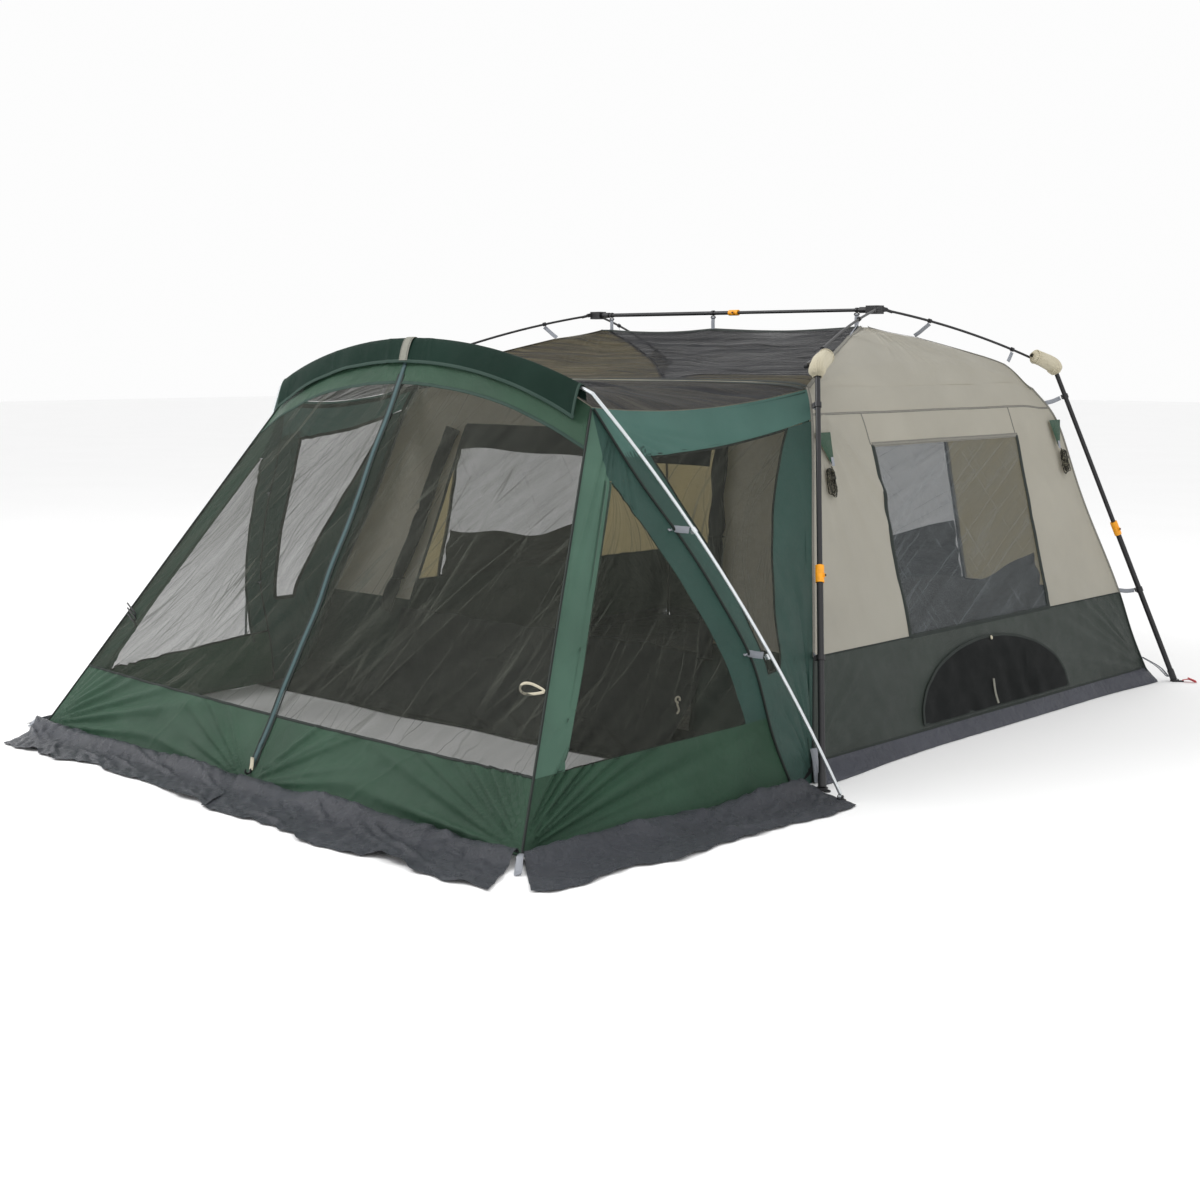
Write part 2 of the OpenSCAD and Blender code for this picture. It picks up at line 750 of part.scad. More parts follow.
// Crinkled skirt that lies on the ground outside the screen room, in four strips with slits between them
module skirt() {
    corner_in = [front_x + 2, -front_y - 12];
    slit_in = [5, -front_y - 12];
    slit_out = [180, -front_y - skirt_w];
    slit_half = 24;
    rear = -arch_y - 60;
    color(charcoal) linear_extrude(cloth) {
        polygon([slit_in, corner_in, [front_x + 213, 6 - front_y - skirt_w], slit_out + [slit_half, 0]]);
        polygon([
            [-corner_in[0], corner_in[1]], [-slit_in[0], slit_in[1]],
            slit_out - [slit_half, 0], [-front_x + 239, 22 - front_y - skirt_w]
        ]);
        for (side = [0, 1]) mirror([side, 0]) polygon([
            corner_in + [20, 8], [front_x + 323, -front_y - 276], [front_x + 404, -front_y - 197],
            [arch_foot_x + 84, rear - 720], [arch_foot_x + 98, rear - 48], [base_x + 38, rear]
        ]);
    }
}

// Webbing loops and red tabs that pegs go through
module peg_loops() {
    color(webbing) for (side = [-1, 1]) translate([side * (front_x + 139), -front_y - 157, 0]) tube(0, 3, 26, 14);
    color(red) for (spot = ["br", "bl"])
        corner(spot) translate([foot_x + 84, foot_y + 30, 0]) tube(0, 4, 30, 14);
}

// A guy rope wound into a flat hank that hangs from its tab
module guy_rope(spot) {
    color(olive) corner(spot) on_right_wall(8)
        translate([shoulder_y, rope_z / cos(lean_x) - hank_len, 0])
        linear_extrude(hank_t) {
            translate([hank_w / 2, 0]) circle(r = hank_w / 2, $fn = 32);
            square([hank_w, hank_len - hank_w / 2]);
            translate([hank_w / 2, hank_len - hank_w / 2]) circle(r = hank_w / 2, $fn = 32);
        }
}

ridge_tube_outer();
ridge_tube_inner();
ridge_lock();
ridge_button();
ridge_clips();
hub_right();
hub_left();
roof_pole("fr");  // roof_pole_fr
roof_pole("fl");  // roof_pole_fl
roof_pole("br");  // roof_pole_br
roof_pole("bl");  // roof_pole_bl
elbow_cover("fr");  // elbow_cover_fr
elbow_cover("fl");  // elbow_cover_fl
elbow_cover("br");  // elbow_cover_br
elbow_cover("bl");  // elbow_cover_bl
leg_upper("fr");  // leg_upper_fr
leg_upper("fl");  // leg_upper_fl
leg_upper("br");  // leg_upper_br
leg_upper("bl");  // leg_upper_bl
leg_lower("fr");  // leg_lower_fr
leg_lower("fl");  // leg_lower_fl
leg_lower("br");  // leg_lower_br
leg_lower("bl");  // leg_lower_bl
leg_lock("fr");  // leg_lock_fr
leg_lock("fl");  // leg_lock_fl
leg_lock("br");  // leg_lock_br
leg_lock("bl");  // leg_lock_bl
leg_button("fr");  // leg_button_fr
leg_button("fl");  // leg_button_fl
leg_button("br");  // leg_button_br
leg_button("bl");  // leg_button_bl
leg_foot("fr");  // leg_foot_fr
leg_foot("fl");  // leg_foot_fl
leg_foot("br");  // leg_foot_br
leg_foot("bl");  // leg_foot_bl
arch_pole();
arch_feet();
arch_hood();
floor();
wall_right();
wall_left();
wall_back();
wall_front();
roof_mesh();
roof_hips();
windows();
vent_flaps();
door_rolls();
door_curtain();
screen_front();
screen_side_right();
screen_side_left();
screen_roof();
skirt();
peg_loops();
guy_rope("fr");  // guy_rope_fr
guy_rope("fl");  // guy_rope_fl
guy_rope("br");  // guy_rope_br
guy_rope("bl");  // guy_rope_bl
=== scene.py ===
"""A cabin tent on a folding hub frame with a screen room at its front, dressed in cloth.

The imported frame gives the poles, hubs, legs and their bodies. Everything sewn is made here: each wall is one
surface with its folds, and its panels, windows, seams and tapes are laid out on that surface.
"""

import math

import bpy
import numpy as np
from mathutils import Euler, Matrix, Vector


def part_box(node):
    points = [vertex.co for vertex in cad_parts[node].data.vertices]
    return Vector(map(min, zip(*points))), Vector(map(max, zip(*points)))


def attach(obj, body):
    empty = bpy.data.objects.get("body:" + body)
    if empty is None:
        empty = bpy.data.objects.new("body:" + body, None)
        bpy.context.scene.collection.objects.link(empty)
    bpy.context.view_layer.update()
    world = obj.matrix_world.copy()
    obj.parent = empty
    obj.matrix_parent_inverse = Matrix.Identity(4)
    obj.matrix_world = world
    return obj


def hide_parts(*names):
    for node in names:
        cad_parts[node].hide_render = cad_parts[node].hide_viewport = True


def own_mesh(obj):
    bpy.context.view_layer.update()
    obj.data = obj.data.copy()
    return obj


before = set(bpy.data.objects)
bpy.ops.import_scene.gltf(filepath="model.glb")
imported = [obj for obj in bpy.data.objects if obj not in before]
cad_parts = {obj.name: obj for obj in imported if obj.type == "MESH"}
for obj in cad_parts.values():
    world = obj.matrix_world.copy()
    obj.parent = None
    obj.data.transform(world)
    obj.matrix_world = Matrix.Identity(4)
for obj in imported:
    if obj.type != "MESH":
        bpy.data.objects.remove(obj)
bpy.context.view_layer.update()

# ---------- measures, in metres, shared with the frame ----------

CORNERS = {"fr": (1, -1), "fl": (-1, -1), "br": (1, 1), "bl": (-1, 1)}
SIDES = {"right": 1, "left": -1}

BASE_X, BASE_Y = 1.835, 1.645
SHOULDER_X, SHOULDER_Y, SHOULDER_Z = 1.395, 1.089, 1.740
PEAK_X, PEAK_Z = 0.930, 2.010
RIDGE_Z = 2.100
EAVE_SEAM_Z = 1.597
GREEN_TOP_Z = 0.520
EDGE_TOP_Z = 0.083
WINDOW_HALF, WINDOW_LOW, WINDOW_HIGH = 0.680, 0.520, 1.440
BACK_WINDOW_HALF = 0.700
VENT_HALF, VENT_LOW, VENT_RISE = 0.715, 0.105, 0.340
DOOR_TOP_HALF, DOOR_LOW_HALF, DOOR_LOW, DOOR_HIGH = 0.900, 1.100, 0.090, 1.480

PIVOT = np.array([1.030, 0.045, 2.100])
ELBOW = np.array([1.430, 1.107, 1.825])
FOOT = np.array([1.944, 1.730, 0.0])
POLE_END = np.array([1.378, 1.121, 1.815])
POLE_BOW = 0.026

FRONT_X, FRONT_Y = 1.721, 3.333
ARCH_Y, ARCH_LEAN = 1.820, math.radians(15.16)
ARCH_HALF, ARCH_SHOULDER, ARCH_TOP = 1.100, 1.761, 1.996
ARCH_SIDE = [
    (1.850, 0.006), (1.788, 0.231), (1.739, 0.573), (1.600, 0.860), (1.467, 1.073), (1.268, 1.339), (1.080, 1.640)
]
CLOTH_TOP = [(1.080, 1.640), (0.860, 1.748), (0.600, 1.835), (0.300, 1.888), (0.0, 1.905)]
SKIRT_W = 0.385

ROPE_D = 0.005

# ---------- camera ----------

CAMERA_AT = (6.225, -7.747, 1.862)
CAMERA_YAW, CAMERA_PITCH = 0.749, -0.140
camera_data = bpy.data.cameras.new("camera")
camera_data.lens = 52.05
camera_data.sensor_width = 36
camera = bpy.data.objects.new("camera", camera_data)
camera.location = CAMERA_AT
camera.rotation_euler = Euler((math.pi / 2 + CAMERA_PITCH, 0, CAMERA_YAW), "XYZ")
bpy.context.scene.collection.objects.link(camera)
bpy.context.scene.camera = camera

# ---------- materials ----------


def linear(red, green, blue):
    """A colour given as 0 to 255 screen values, as the renderer wants it."""
    return tuple(
        c / 12.92 if c <= 0.04045 else ((c + 0.055) / 1.055) ** 2.4 for c in (red / 255, green / 255, blue / 255)
    ) + (1.0,)


class Nodes:
    """A material's node tree with short calls for what the finishes use."""

    def __init__(self, name, **constants):
        self.material = bpy.data.materials.new(name)
        self.material.use_nodes = True
        self.tree = self.material.node_tree
        self.shader = self.tree.nodes["Principled BSDF"]
        for socket, value in constants.items():
            self.shader.inputs[socket.replace("_", " ")].default_value = value

    def add(self, kind, **settings):
        node = self.tree.nodes.new(kind)
        for key, value in settings.items():
            setattr(node, key, value)
        return node

    def link(self, a, b):
        self.tree.links.new(a, b)

    def coordinates(self, source, scale=(1, 1, 1), turn=0.0):
        where = self.add("ShaderNodeTexCoord")
        mapping = self.add("ShaderNodeMapping", vector_type="TEXTURE")
        mapping.inputs["Scale"].default_value = tuple(1 / c for c in scale)
        mapping.inputs["Rotation"].default_value = (0, 0, turn)
        self.link(where.outputs[source], mapping.inputs["Vector"])
        return mapping.outputs["Vector"]

    def noise(self, vector, scale, detail=3.0, rough=0.55):
        node = self.add("ShaderNodeTexNoise")
        node.inputs["Scale"].default_value = scale
        node.inputs["Detail"].default_value = detail
        node.inputs["Roughness"].default_value = rough
        self.link(vector, node.inputs["Vector"])
        return node.outputs["Fac"]

    def wave(self, vector, pitch, direction="X"):
        node = self.add("ShaderNodeTexWave", bands_direction=direction)
        node.inputs["Scale"].default_value = math.pi / 10 / pitch
        self.link(vector, node.inputs["Vector"])
        return node.outputs["Fac"]

    def maths(self, operation, a, b=0.0):
        node = self.add("ShaderNodeMath", operation=operation)
        for socket, value in zip(node.inputs, (a, b)):
            if isinstance(value, (int, float)):
                socket.default_value = value
            else:
                self.link(value, socket)
        return node.outputs[0]

    def ramp(self, fac, low, high, to_low, to_high):
        node = self.add("ShaderNodeMapRange")
        self.link(fac, node.inputs["Value"])
        for key, value in zip(("From Min", "From Max", "To Min", "To Max"), (low, high, to_low, to_high)):
            node.inputs[key].default_value = value
        return node.outputs["Result"]

    def put(self, value, socket):
        if isinstance(value, bpy.types.NodeSocket):
            self.link(value, socket)
        else:
            socket.default_value = value

    def mix(self, fac, first, second):
        node = self.add("ShaderNodeMix", data_type="RGBA")
        for socket, value in ((node.inputs[0], fac), (node.inputs[6], first), (node.inputs[7], second)):
            self.put(value, socket)
        return node.outputs[2]

    def glow(self, colour, share):
        """Lets a share of the light through, as thin cloth does."""
        through = self.add("ShaderNodeBsdfTranslucent")
        both = self.add("ShaderNodeMixShader")
        both.inputs["Fac"].default_value = share
        self.put(colour, through.inputs["Color"])
        self.link(self.shader.outputs["BSDF"], both.inputs[1])
        self.link(through.outputs["BSDF"], both.inputs[2])
        self.link(both.outputs["Shader"], self.tree.nodes["Material Output"].inputs["Surface"])

    def bump(self, height, distance, under=None, strength=1.0):
        node = self.add("ShaderNodeBump")
        node.inputs["Distance"].default_value = distance
        node.inputs["Strength"].default_value = strength
        self.link(height, node.inputs["Height"])
        if under is not None:
            self.link(under, node.inputs["Normal"])
        return node.outputs["Normal"]

    def set(self, **links):
        for socket, output in links.items():
            self.link(output, self.shader.inputs[socket.replace("_", " ")])
        return self.material


def shade(colour, factor):
    return tuple(c * factor for c in colour[:3]) + (1.0,)


def woven(
    name, colour, rough=0.62, crinkle=0.004, crinkle_size=0.05, pitch=0.0011, sheen=0.15, mottle=0.16, glow=0.0,
    gloss=0.22, tint=None,
):
    """Coated tent cloth: a plain weave, small crinkles and a slightly uneven dye. glow is the light it lets through."""
    n = Nodes(name, Sheen_Weight=sheen, Sheen_Roughness=0.4, Specular_IOR_Level=gloss)
    flat = n.coordinates("UV")
    solid = n.coordinates("Object")
    cloudy = n.noise(solid, 2.2, 4.0)
    thread = n.maths("ADD", n.wave(flat, pitch, "X"), n.wave(flat, pitch, "Y"))
    dye = n.mix(n.ramp(cloudy, 0.3, 0.7, 0, 1), shade(colour, 1 - mottle), shade(colour, 1 + mottle))
    dyed = n.mix(n.ramp(thread, 0.2, 1.8, 0, 0.22), dye, shade(colour, 0.62))
    folds = n.noise(solid, 1 / crinkle_size, 5.0, 0.6)
    normal = n.bump(thread, 0.00025, n.bump(folds, crinkle))
    worn = n.ramp(n.noise(solid, 9.0, 3.0), 0.3, 0.7, rough - 0.08, rough + 0.08)
    if glow:
        n.glow(tint or dyed, glow)
    return n.set(Base_Color=dyed, Roughness=worn, Normal=normal)


def netting(name, colour, thin, thick, pitch=0.0016, crinkle=0.003, streaks=(0.5, 4.0), turns=(0.9, 1.2), lines=0.3):
    """Insect mesh: threads that hide, holes that show what is behind, soft streaks and thin lines where it is creased,
    those lines painted lighter as a painted highlight.
    """
    n = Nodes(name, Roughness=0.75, Specular_IOR_Level=0.2)
    flat = n.coordinates("UV")
    thread = n.maths("MAXIMUM", n.wave(flat, pitch, "X"), n.wave(flat, pitch, "Y"))
    streak = n.noise(n.coordinates("UV", (streaks[0], streaks[1], 1), turns[0]), 3.0, 4.0, 0.6)
    creased = 0.0
    for k, turn in enumerate(turns):
        folds = n.noise(n.coordinates("UV", (0.07, 2.6 + 0.9 * k, 1), turn), 3.0, 1.0, 0.4)
        fold = n.ramp(n.maths("ABSOLUTE", n.maths("SUBTRACT", folds, 0.5 - 0.06 * k)), 0.0, 0.016, 1, 0)
        creased = n.maths("MAXIMUM", fold, creased)
    faint = n.maths("MULTIPLY", creased, n.ramp(n.noise(flat, 2.5, 2.0), 0.35, 0.65, 0, lines))
    base = n.ramp(thread, 0.35, 0.95, thin - 0.10, thin + 0.16)
    cover = n.maths("ADD", n.maths("ADD", base, n.ramp(streak, 0.35, 0.75, 0.0, thick - thin)), faint)
    tone = n.mix(n.ramp(streak, 0.3, 0.75, 0, 1), shade(colour, 0.85), shade(colour, 1.35))
    # Painted highlight: the crease lines are painted up to 1.7 times lighter, standing in for the light the creases
    # catch.
    lit = n.mix(n.ramp(creased, 0.0, 1.0, 0.0, 0.5), tone, shade(colour, 1.7))
    return n.set(Base_Color=lit, Alpha=cover, Normal=n.bump(streak, crinkle))


def tape(name, colour, stitch, pitch=0.009, edge=0.22):
    """Binding or hem tape, its UVs in metres along and 0 to 1 across, with two rows of stitches."""
    n = Nodes(name, Roughness=0.7, Specular_IOR_Level=0.3)
    where = n.add("ShaderNodeTexCoord")
    split = n.add("ShaderNodeSeparateXYZ")
    n.link(where.outputs["UV"], split.inputs["Vector"])
    along = n.wave(where.outputs["UV"], pitch, "X")
    off_middle = n.maths("ABSOLUTE", n.maths("SUBTRACT", split.outputs["Y"], 0.5))
    in_row = n.ramp(n.maths("ABSOLUTE", n.maths("SUBTRACT", off_middle, 0.5 - edge)), 0.04, 0.075, 1, 0)
    dash = n.maths("MULTIPLY", n.ramp(along, 0.35, 0.5, 0, 1), in_row)
    grain = n.noise(n.coordinates("Object"), 160, 3.0)
    base = n.mix(n.ramp(grain, 0.3, 0.7, 0, 1), shade(colour, 0.82), shade(colour, 1.15))
    return n.set(
        Base_Color=n.mix(dash, base, stitch), Normal=n.bump(dash, 0.0012, n.bump(grain, 0.0006))
    )


def webbing(name, colour):
    """Woven strap with ribs across it."""
    n = Nodes(name, Roughness=0.7, Sheen_Weight=0.2)
    ribs = n.wave(n.coordinates("UV"), 0.0022, "X")
    grain = n.noise(n.coordinates("Object"), 240, 2.0)
    base = n.mix(n.ramp(ribs, 0.2, 0.8, 0, 1), shade(colour, 0.7), shade(colour, 1.12))
    worn = n.mix(n.ramp(grain, 0.4, 0.8, 0, 0.4), base, shade(colour, 1.35))
    return n.set(Base_Color=worn, Normal=n.bump(ribs, 0.0006, n.bump(grain, 0.0004)))


def rope(name, colour, fleck):
    """Braided cord with a fleck in it."""
    n = Nodes(name, Roughness=0.65)
    braid = n.maths(
        "MULTIPLY",
        n.wave(n.coordinates("UV", (1, 1, 1), 0.7), 0.0035, "X"),
        n.wave(n.coordinates("UV", (1, 1, 1), -0.7), 0.0035, "X"),
    )
    spots = n.ramp(n.noise(n.coordinates("Object"), 190, 1.0), 0.58, 0.66, 0, 0.8)
    base = n.mix(n.ramp(braid, 0.1, 0.6, 0, 1), shade(colour, 0.6), shade(colour, 1.25))
    return n.set(Base_Color=n.mix(spots, base, fleck), Normal=n.bump(braid, 0.0009))


def moulded(name, colour, rough=0.42):
    """Moulded plastic with a fine spark grain and rubbed high spots."""
    n = Nodes(name, Specular_IOR_Level=0.45)
    solid = n.coordinates("Object")
    grain = n.noise(solid, 700, 2.0)
    rubbed = n.noise(solid, 22, 5.0, 0.65)
    base = n.mix(n.ramp(rubbed, 0.5, 0.8, 0, 0.5), colour, shade(colour, 1.7))
    return n.set(
        Base_Color=base, Roughness=n.ramp(rubbed, 0.35, 0.75, rough - 0.08, rough + 0.14), Normal=n.bump(grain, 0.0004)
    )


def metal(name, colour, rough, metallic):
    """Drawn tube, with fine lines along it and light scuffs."""
    n = Nodes(name, Metallic=metallic, Specular_IOR_Level=0.5)
    drawn = n.noise(n.coordinates("Object", (90, 90, 3)), 6.0, 3.0)
    scuffs = n.noise(n.coordinates("Object"), 38, 6.0, 0.7)
    base = n.mix(n.ramp(scuffs, 0.55, 0.72, 0, 0.5), colour, shade(colour, 1.6))
    return n.set(
        Base_Color=base, Roughness=n.ramp(drawn, 0.3, 0.7, rough - 0.07, rough + 0.1), Normal=n.bump(drawn, 0.0003)
    )


def ground_finish():
    n = Nodes("studio_floor", Roughness=0.9, Specular_IOR_Level=0.1)
    cloudy = n.noise(n.coordinates("Object"), 0.7, 2.0)
    return n.set(Base_Color=n.mix(cloudy, (0.93, 0.93, 0.93, 1), (0.96, 0.96, 0.96, 1)))


FINISH = {
    "beige": woven(
        "cloth_beige", linear(192, 189, 178), crinkle=0.008, crinkle_size=0.13, mottle=0.07, sheen=0.05, glow=0.30,
        tint=linear(206, 190, 140),
    ),
    "cream": woven("cloth_cream", linear(204, 196, 172), crinkle=0.006, crinkle_size=0.018, mottle=0.08),
    "green": woven(
        "cloth_green", linear(44, 77, 57), rough=0.38, gloss=0.32, crinkle=0.010, crinkle_size=0.10, sheen=0.04,
        glow=0.12,
    ),
    "teal": woven(
        "cloth_teal", linear(47, 78, 70), rough=0.40, gloss=0.30, crinkle=0.010, crinkle_size=0.10, sheen=0.04,
        glow=0.12,
    ),
    # Eave panel: the teal painted lighter, a painted highlight for the light that this upward-bulging panel catches.
    "eave": woven(
        "cloth_eave_teal_painted_light", linear(80, 117, 108), rough=0.45, crinkle=0.004, crinkle_size=0.07, sheen=0.04, glow=0.15
    ),
    "pine": woven("cloth_pine", linear(20, 37, 31), rough=0.5, crinkle=0.004, crinkle_size=0.07, sheen=0.02),
    # Fold strip: the same green painted lighter, painted light for the extra light the strip catches.
    "sage": woven(
        "cloth_sage_green_painted_light", linear(82, 114, 98), rough=0.45, crinkle=0.003, crinkle_size=0.06, sheen=0.04, glow=0.12
    ),
    "dusk": woven(
        "cloth_dusk", linear(45, 54, 48), rough=0.42, crinkle=0.014, crinkle_size=0.14, sheen=0.02, glow=0.08,
        gloss=0.32,
    ),
    "edge": woven(
        "cloth_edge", linear(58, 61, 71), rough=0.36, crinkle=0.022, crinkle_size=0.07, sheen=0.02, gloss=0.35
    ),
    "charcoal": woven(
        "cloth_charcoal", linear(57, 60, 67), rough=0.27, crinkle=0.013, crinkle_size=0.035, sheen=0.02, gloss=0.42
    ),
    "black": woven("cloth_black", linear(25, 26, 27), rough=0.65, crinkle=0.003, crinkle_size=0.05, sheen=0.02),
    "hood": woven(
        "cloth_hood", linear(22, 44, 36), rough=0.55, crinkle=0.005, crinkle_size=0.06, sheen=0.0, gloss=0.08
    ),
    "vent": woven("cloth_vent", linear(15, 18, 18), rough=0.8, crinkle=0.004, crinkle_size=0.05, sheen=0.0),
    "flap": woven("cloth_flap", linear(56, 55, 50), rough=0.6, crinkle=0.008, crinkle_size=0.06, sheen=0.02, glow=0.15),
    "screen": netting("mesh_screen", linear(52, 54, 48), 0.38, 0.52, lines=0.42),
    "window": netting("mesh_window", linear(82, 86, 88), 0.50, 0.60, turns=(0.5, 2.2), lines=0.07),
    "roof": netting("mesh_roof", linear(21, 22, 25), 0.56, 0.96, streaks=(0.3, 5.0), turns=(0.04, 3.0), lines=0.4),
    "tape_dark": tape("tape_dark", linear(34, 40, 37), linear(60, 68, 64)),
    "tape_grey": tape("tape_grey", linear(126, 124, 116), linear(92, 90, 84)),
    "tape_sage": tape("tape_sage", linear(76, 102, 88), linear(34, 50, 42), edge=0.10),
    "tape_green": tape("tape_green", linear(36, 58, 50), linear(62, 86, 76)),
    "tape_teal": tape("tape_teal", linear(62, 84, 86), linear(26, 38, 38), edge=0.12),
    "tape_tab": tape("tape_tab", linear(128, 128, 118), linear(88, 88, 82), edge=0.12),
    "strap": webbing("webbing_grey", linear(150, 154, 162)),
    "red": webbing("webbing_red", linear(196, 34, 44)),
    "strap_cream": webbing("webbing_cream", linear(216, 208, 184)),
    "rope": rope("rope_olive", linear(40, 37, 27), linear(170, 166, 140)),
    "orange": moulded("plastic_orange", linear(240, 160, 24)),
    "plastic": moulded("plastic_black", linear(34, 34, 36)),
    "tube": metal("tube_black", linear(40, 40, 42), 0.38, 0.3),
    "silver": metal("tube_silver", linear(214, 218, 220), 0.3, 0.9),
}

# ---------- shared shapes ----------


def lerp(a, b, t):
    return a + (b - a) * t


def unit(v):
    v = np.asarray(v, float)
    return v / np.maximum(np.linalg.norm(v, axis=-1, keepdims=True), 1e-12)


def smooth(t):
    t = np.clip(t, 0, 1)
    return t * t * (3 - 2 * t)


def bell(x, middle, width):
    return np.exp(-(((x - middle) / width) ** 2))


def soft(u, v, size, seed, count=9):
    """A gentle random relief from -1 to 1 with bumps about size across."""
    draw = np.random.default_rng(seed)
    total = 0
    for _ in range(count):
        turn, phase, stretch = draw.uniform(0, math.pi), draw.uniform(0, 2 * math.pi), draw.uniform(0.6, 1.6)
        k = 2 * math.pi / (size * stretch * 2)
        total = total + np.sin(k * (u * math.cos(turn) + v * math.sin(turn)) + phase)
    return total / math.sqrt(count)


def fan(u, v, corner, first, last, count, reach, seed):
    """Tension folds that fan out from a corner, between two angles, and fade at reach."""
    draw = np.random.default_rng(seed)
    angle = np.degrees(np.arctan2(v - corner[1], u - corner[0]))
    away = np.hypot(u - corner[0], v - corner[1])
    total = 0
    for k in range(count):
        middle = lerp(first, last, (k + draw.uniform(0.2, 0.8)) / count)
        width = abs(last - first) / count * draw.uniform(0.16, 0.34)
        long = reach * draw.uniform(0.6, 1.1)
        total = total + draw.uniform(0.5, 1.0) * bell(angle, middle, width) * bell(away, 0.25 * long, long)
    return total * smooth(away / 0.12)


def creases(u, v, turn, count, spread, seed, width=0.010, long=0.5):
    """Thin straight creases at about one angle, each with its own place and length."""
    draw = np.random.default_rng(seed)
    total = 0
    for _ in range(count):
        a = turn + draw.normal(0, 0.12)
        across = -u * math.sin(a) + v * math.cos(a)
        along = u * math.cos(a) + v * math.sin(a)
        wander = 0.015 * np.sin(along * draw.uniform(2, 6) + draw.uniform(0, 6))
        total = total + draw.uniform(0.3, 1.0) * bell(across + wander, draw.uniform(*spread[0]), width) * bell(
            along, draw.uniform(*spread[1]), long * draw.uniform(0.4, 1.2)
        )
    return total


class Surface:
    """A cloth surface. base(u, v) is its plain shape, relief(u, v) how far the cloth stands off it, outwards."""

    def __init__(self, base, relief, outward):
        self.base, self.relief, self.outward = base, relief, outward

    def at(self, u, v, out=0.0):
        u, v = np.broadcast_arrays(np.asarray(u, float), np.asarray(v, float))
        step = 1e-3
        across = self.base(u + step, v) - self.base(u - step, v)
        up = self.base(u, v + step) - self.base(u, v - step)
        normal = unit(np.cross(across, up)) * self.outward
        return ease_corner(self.base(u, v) + normal * (self.relief(u, v) + out)[..., None])


def ease_corner(points):
    """Rounds the cabin's shoulders along the sides, and its back corners, which are strapped to the pole."""
    x, y, z = np.abs(points[..., 0]), points[..., 1], points[..., 2]
    sign = np.sign(points[..., 0])
    gap = np.hypot(x - SHOULDER_X, z - SHOULDER_Z)
    round_off = 0.42 * (np.hypot(gap, 0.11) - gap) * np.exp(-((gap / 0.35) ** 2))
    corner = np.exp(-((gap**2 + (y - SHOULDER_Y) ** 2) / 0.18**2))
    return points - stack(
        sign * (0.8 * round_off + 0.012 * corner), 0.045 * corner, 0.6 * round_off + 0.034 * corner
    )


def stack(*xyz):
    return np.stack(np.broadcast_arrays(*xyz), -1).astype(float)


def build(name, grids, finish, side=1):
    """One mesh from grids of points, each rows x columns x 3, with UVs in metres along the cloth."""
    points, faces, uvs, count = [], [], [], 0
    for grid in grids:
        rows, columns = grid.shape[:2]
        middle_row, middle_column = grid[rows // 2], grid[:, columns // 2]
        u = np.concatenate([[0], np.cumsum(np.linalg.norm(np.diff(middle_row, axis=0), axis=1))])
        v = np.concatenate([[0], np.cumsum(np.linalg.norm(np.diff(middle_column, axis=0), axis=1))])
        points.append(grid.reshape(-1, 3))
        uvs.append(stack(*np.meshgrid(u, v)).reshape(-1, 2))
        i, j = np.meshgrid(np.arange(rows - 1), np.arange(columns - 1), indexing="ij")
        corner = (count + i * columns + j).ravel()
        faces.append(np.stack([corner, corner + 1, corner + columns + 1, corner + columns], 1))
        count += rows * columns
    points, faces, uvs = np.concatenate(points), np.concatenate(faces), np.concatenate(uvs)
    if side < 0:
        points = points * (-1, 1, 1)
        faces = faces[:, ::-1]
    return mesh_piece(name, points, faces, uvs, finish)


def mesh_piece(name, points, faces, uvs, finish):
    mesh = bpy.data.meshes.new(name)
    mesh.from_pydata(points.tolist(), [], [list(map(int, f)) for f in faces])
    layer = mesh.uv_layers.new(name="UVMap")
    corners = np.empty(len(mesh.loops), np.int32)
    mesh.loops.foreach_get("vertex_index", corners)
    layer.data.foreach_set("uv", uvs[corners].astype(np.float32).ravel())
    mesh.polygons.foreach_set("use_smooth", [True] * len(mesh.polygons))
    mesh.materials.append(FINISH[finish])
    mesh.update()
    piece = bpy.data.objects.new(name, mesh)
    bpy.context.scene.collection.objects.link(piece)
    return piece


def frames_along(path, up):
    """Tangents and two cross directions along a path, the first as near to up as it can be."""
    path = np.asarray(path, float)
    tangent = unit(np.gradient(path, axis=0))
    first = np.broadcast_to(np.asarray(up, float), path.shape)
    first = unit(first - tangent * (first * tangent).sum(-1, keepdims=True))
    return tangent, first, np.cross(tangent, first)


def swept(name, path, finish, outline, up=(0, 0, 1), side=1, closed=False, sizes=None):
    """A closed outline of (along up, across) points swept along a path, capped unless the path is a loop."""
    path = np.asarray(path, float)
    _, first, second = frames_along(path, up)
    outline = np.asarray(outline, float)
    scale = np.ones(len(path)) if sizes is None else np.asarray(sizes, float)
    rings = path[:, None] + scale[:, None, None] * (
        first[:, None] * outline[None, :, :1] + second[:, None] * outline[None, :, 1:]
    )
    rows, around = rings.shape[:2]
    along = np.concatenate([[0], np.cumsum(np.linalg.norm(np.diff(path, axis=0), axis=1))])
    uvs = stack(*np.meshgrid(along, np.arange(around) / around, indexing="ij")).reshape(-1, 2)
    faces = []
    for i in range(rows if closed else rows - 1):
        k = (i + 1) % rows
        for j in range(around):
            n = (j + 1) % around
            faces.append([i * around + j, i * around + n, k * around + n, k * around + j])
    if not closed:
        faces.append(list(range(around)))
        faces.append([(rows - 1) * around + j for j in reversed(range(around))])
    points = rings.reshape(-1, 3)
    if side < 0:
        points = points * (-1, 1, 1)
        faces = [f[::-1] for f in faces]
    return mesh_piece(name, points, faces, uvs, finish)


def circle(radius, sides=10):
    turns = np.arange(sides) * 2 * math.pi / sides
    return np.stack([radius * np.cos(turns), radius * np.sin(turns)], 1)


def strap_outline(width, thick=0.0016):
    """A flat strap's section: thick along up, width across, with eased corners."""
    w, t = width / 2, thick / 2
    return [(t, -w + t), (t, w - t), (0, w), (-t, w - t), (-t, -w + t), (0, -w)]


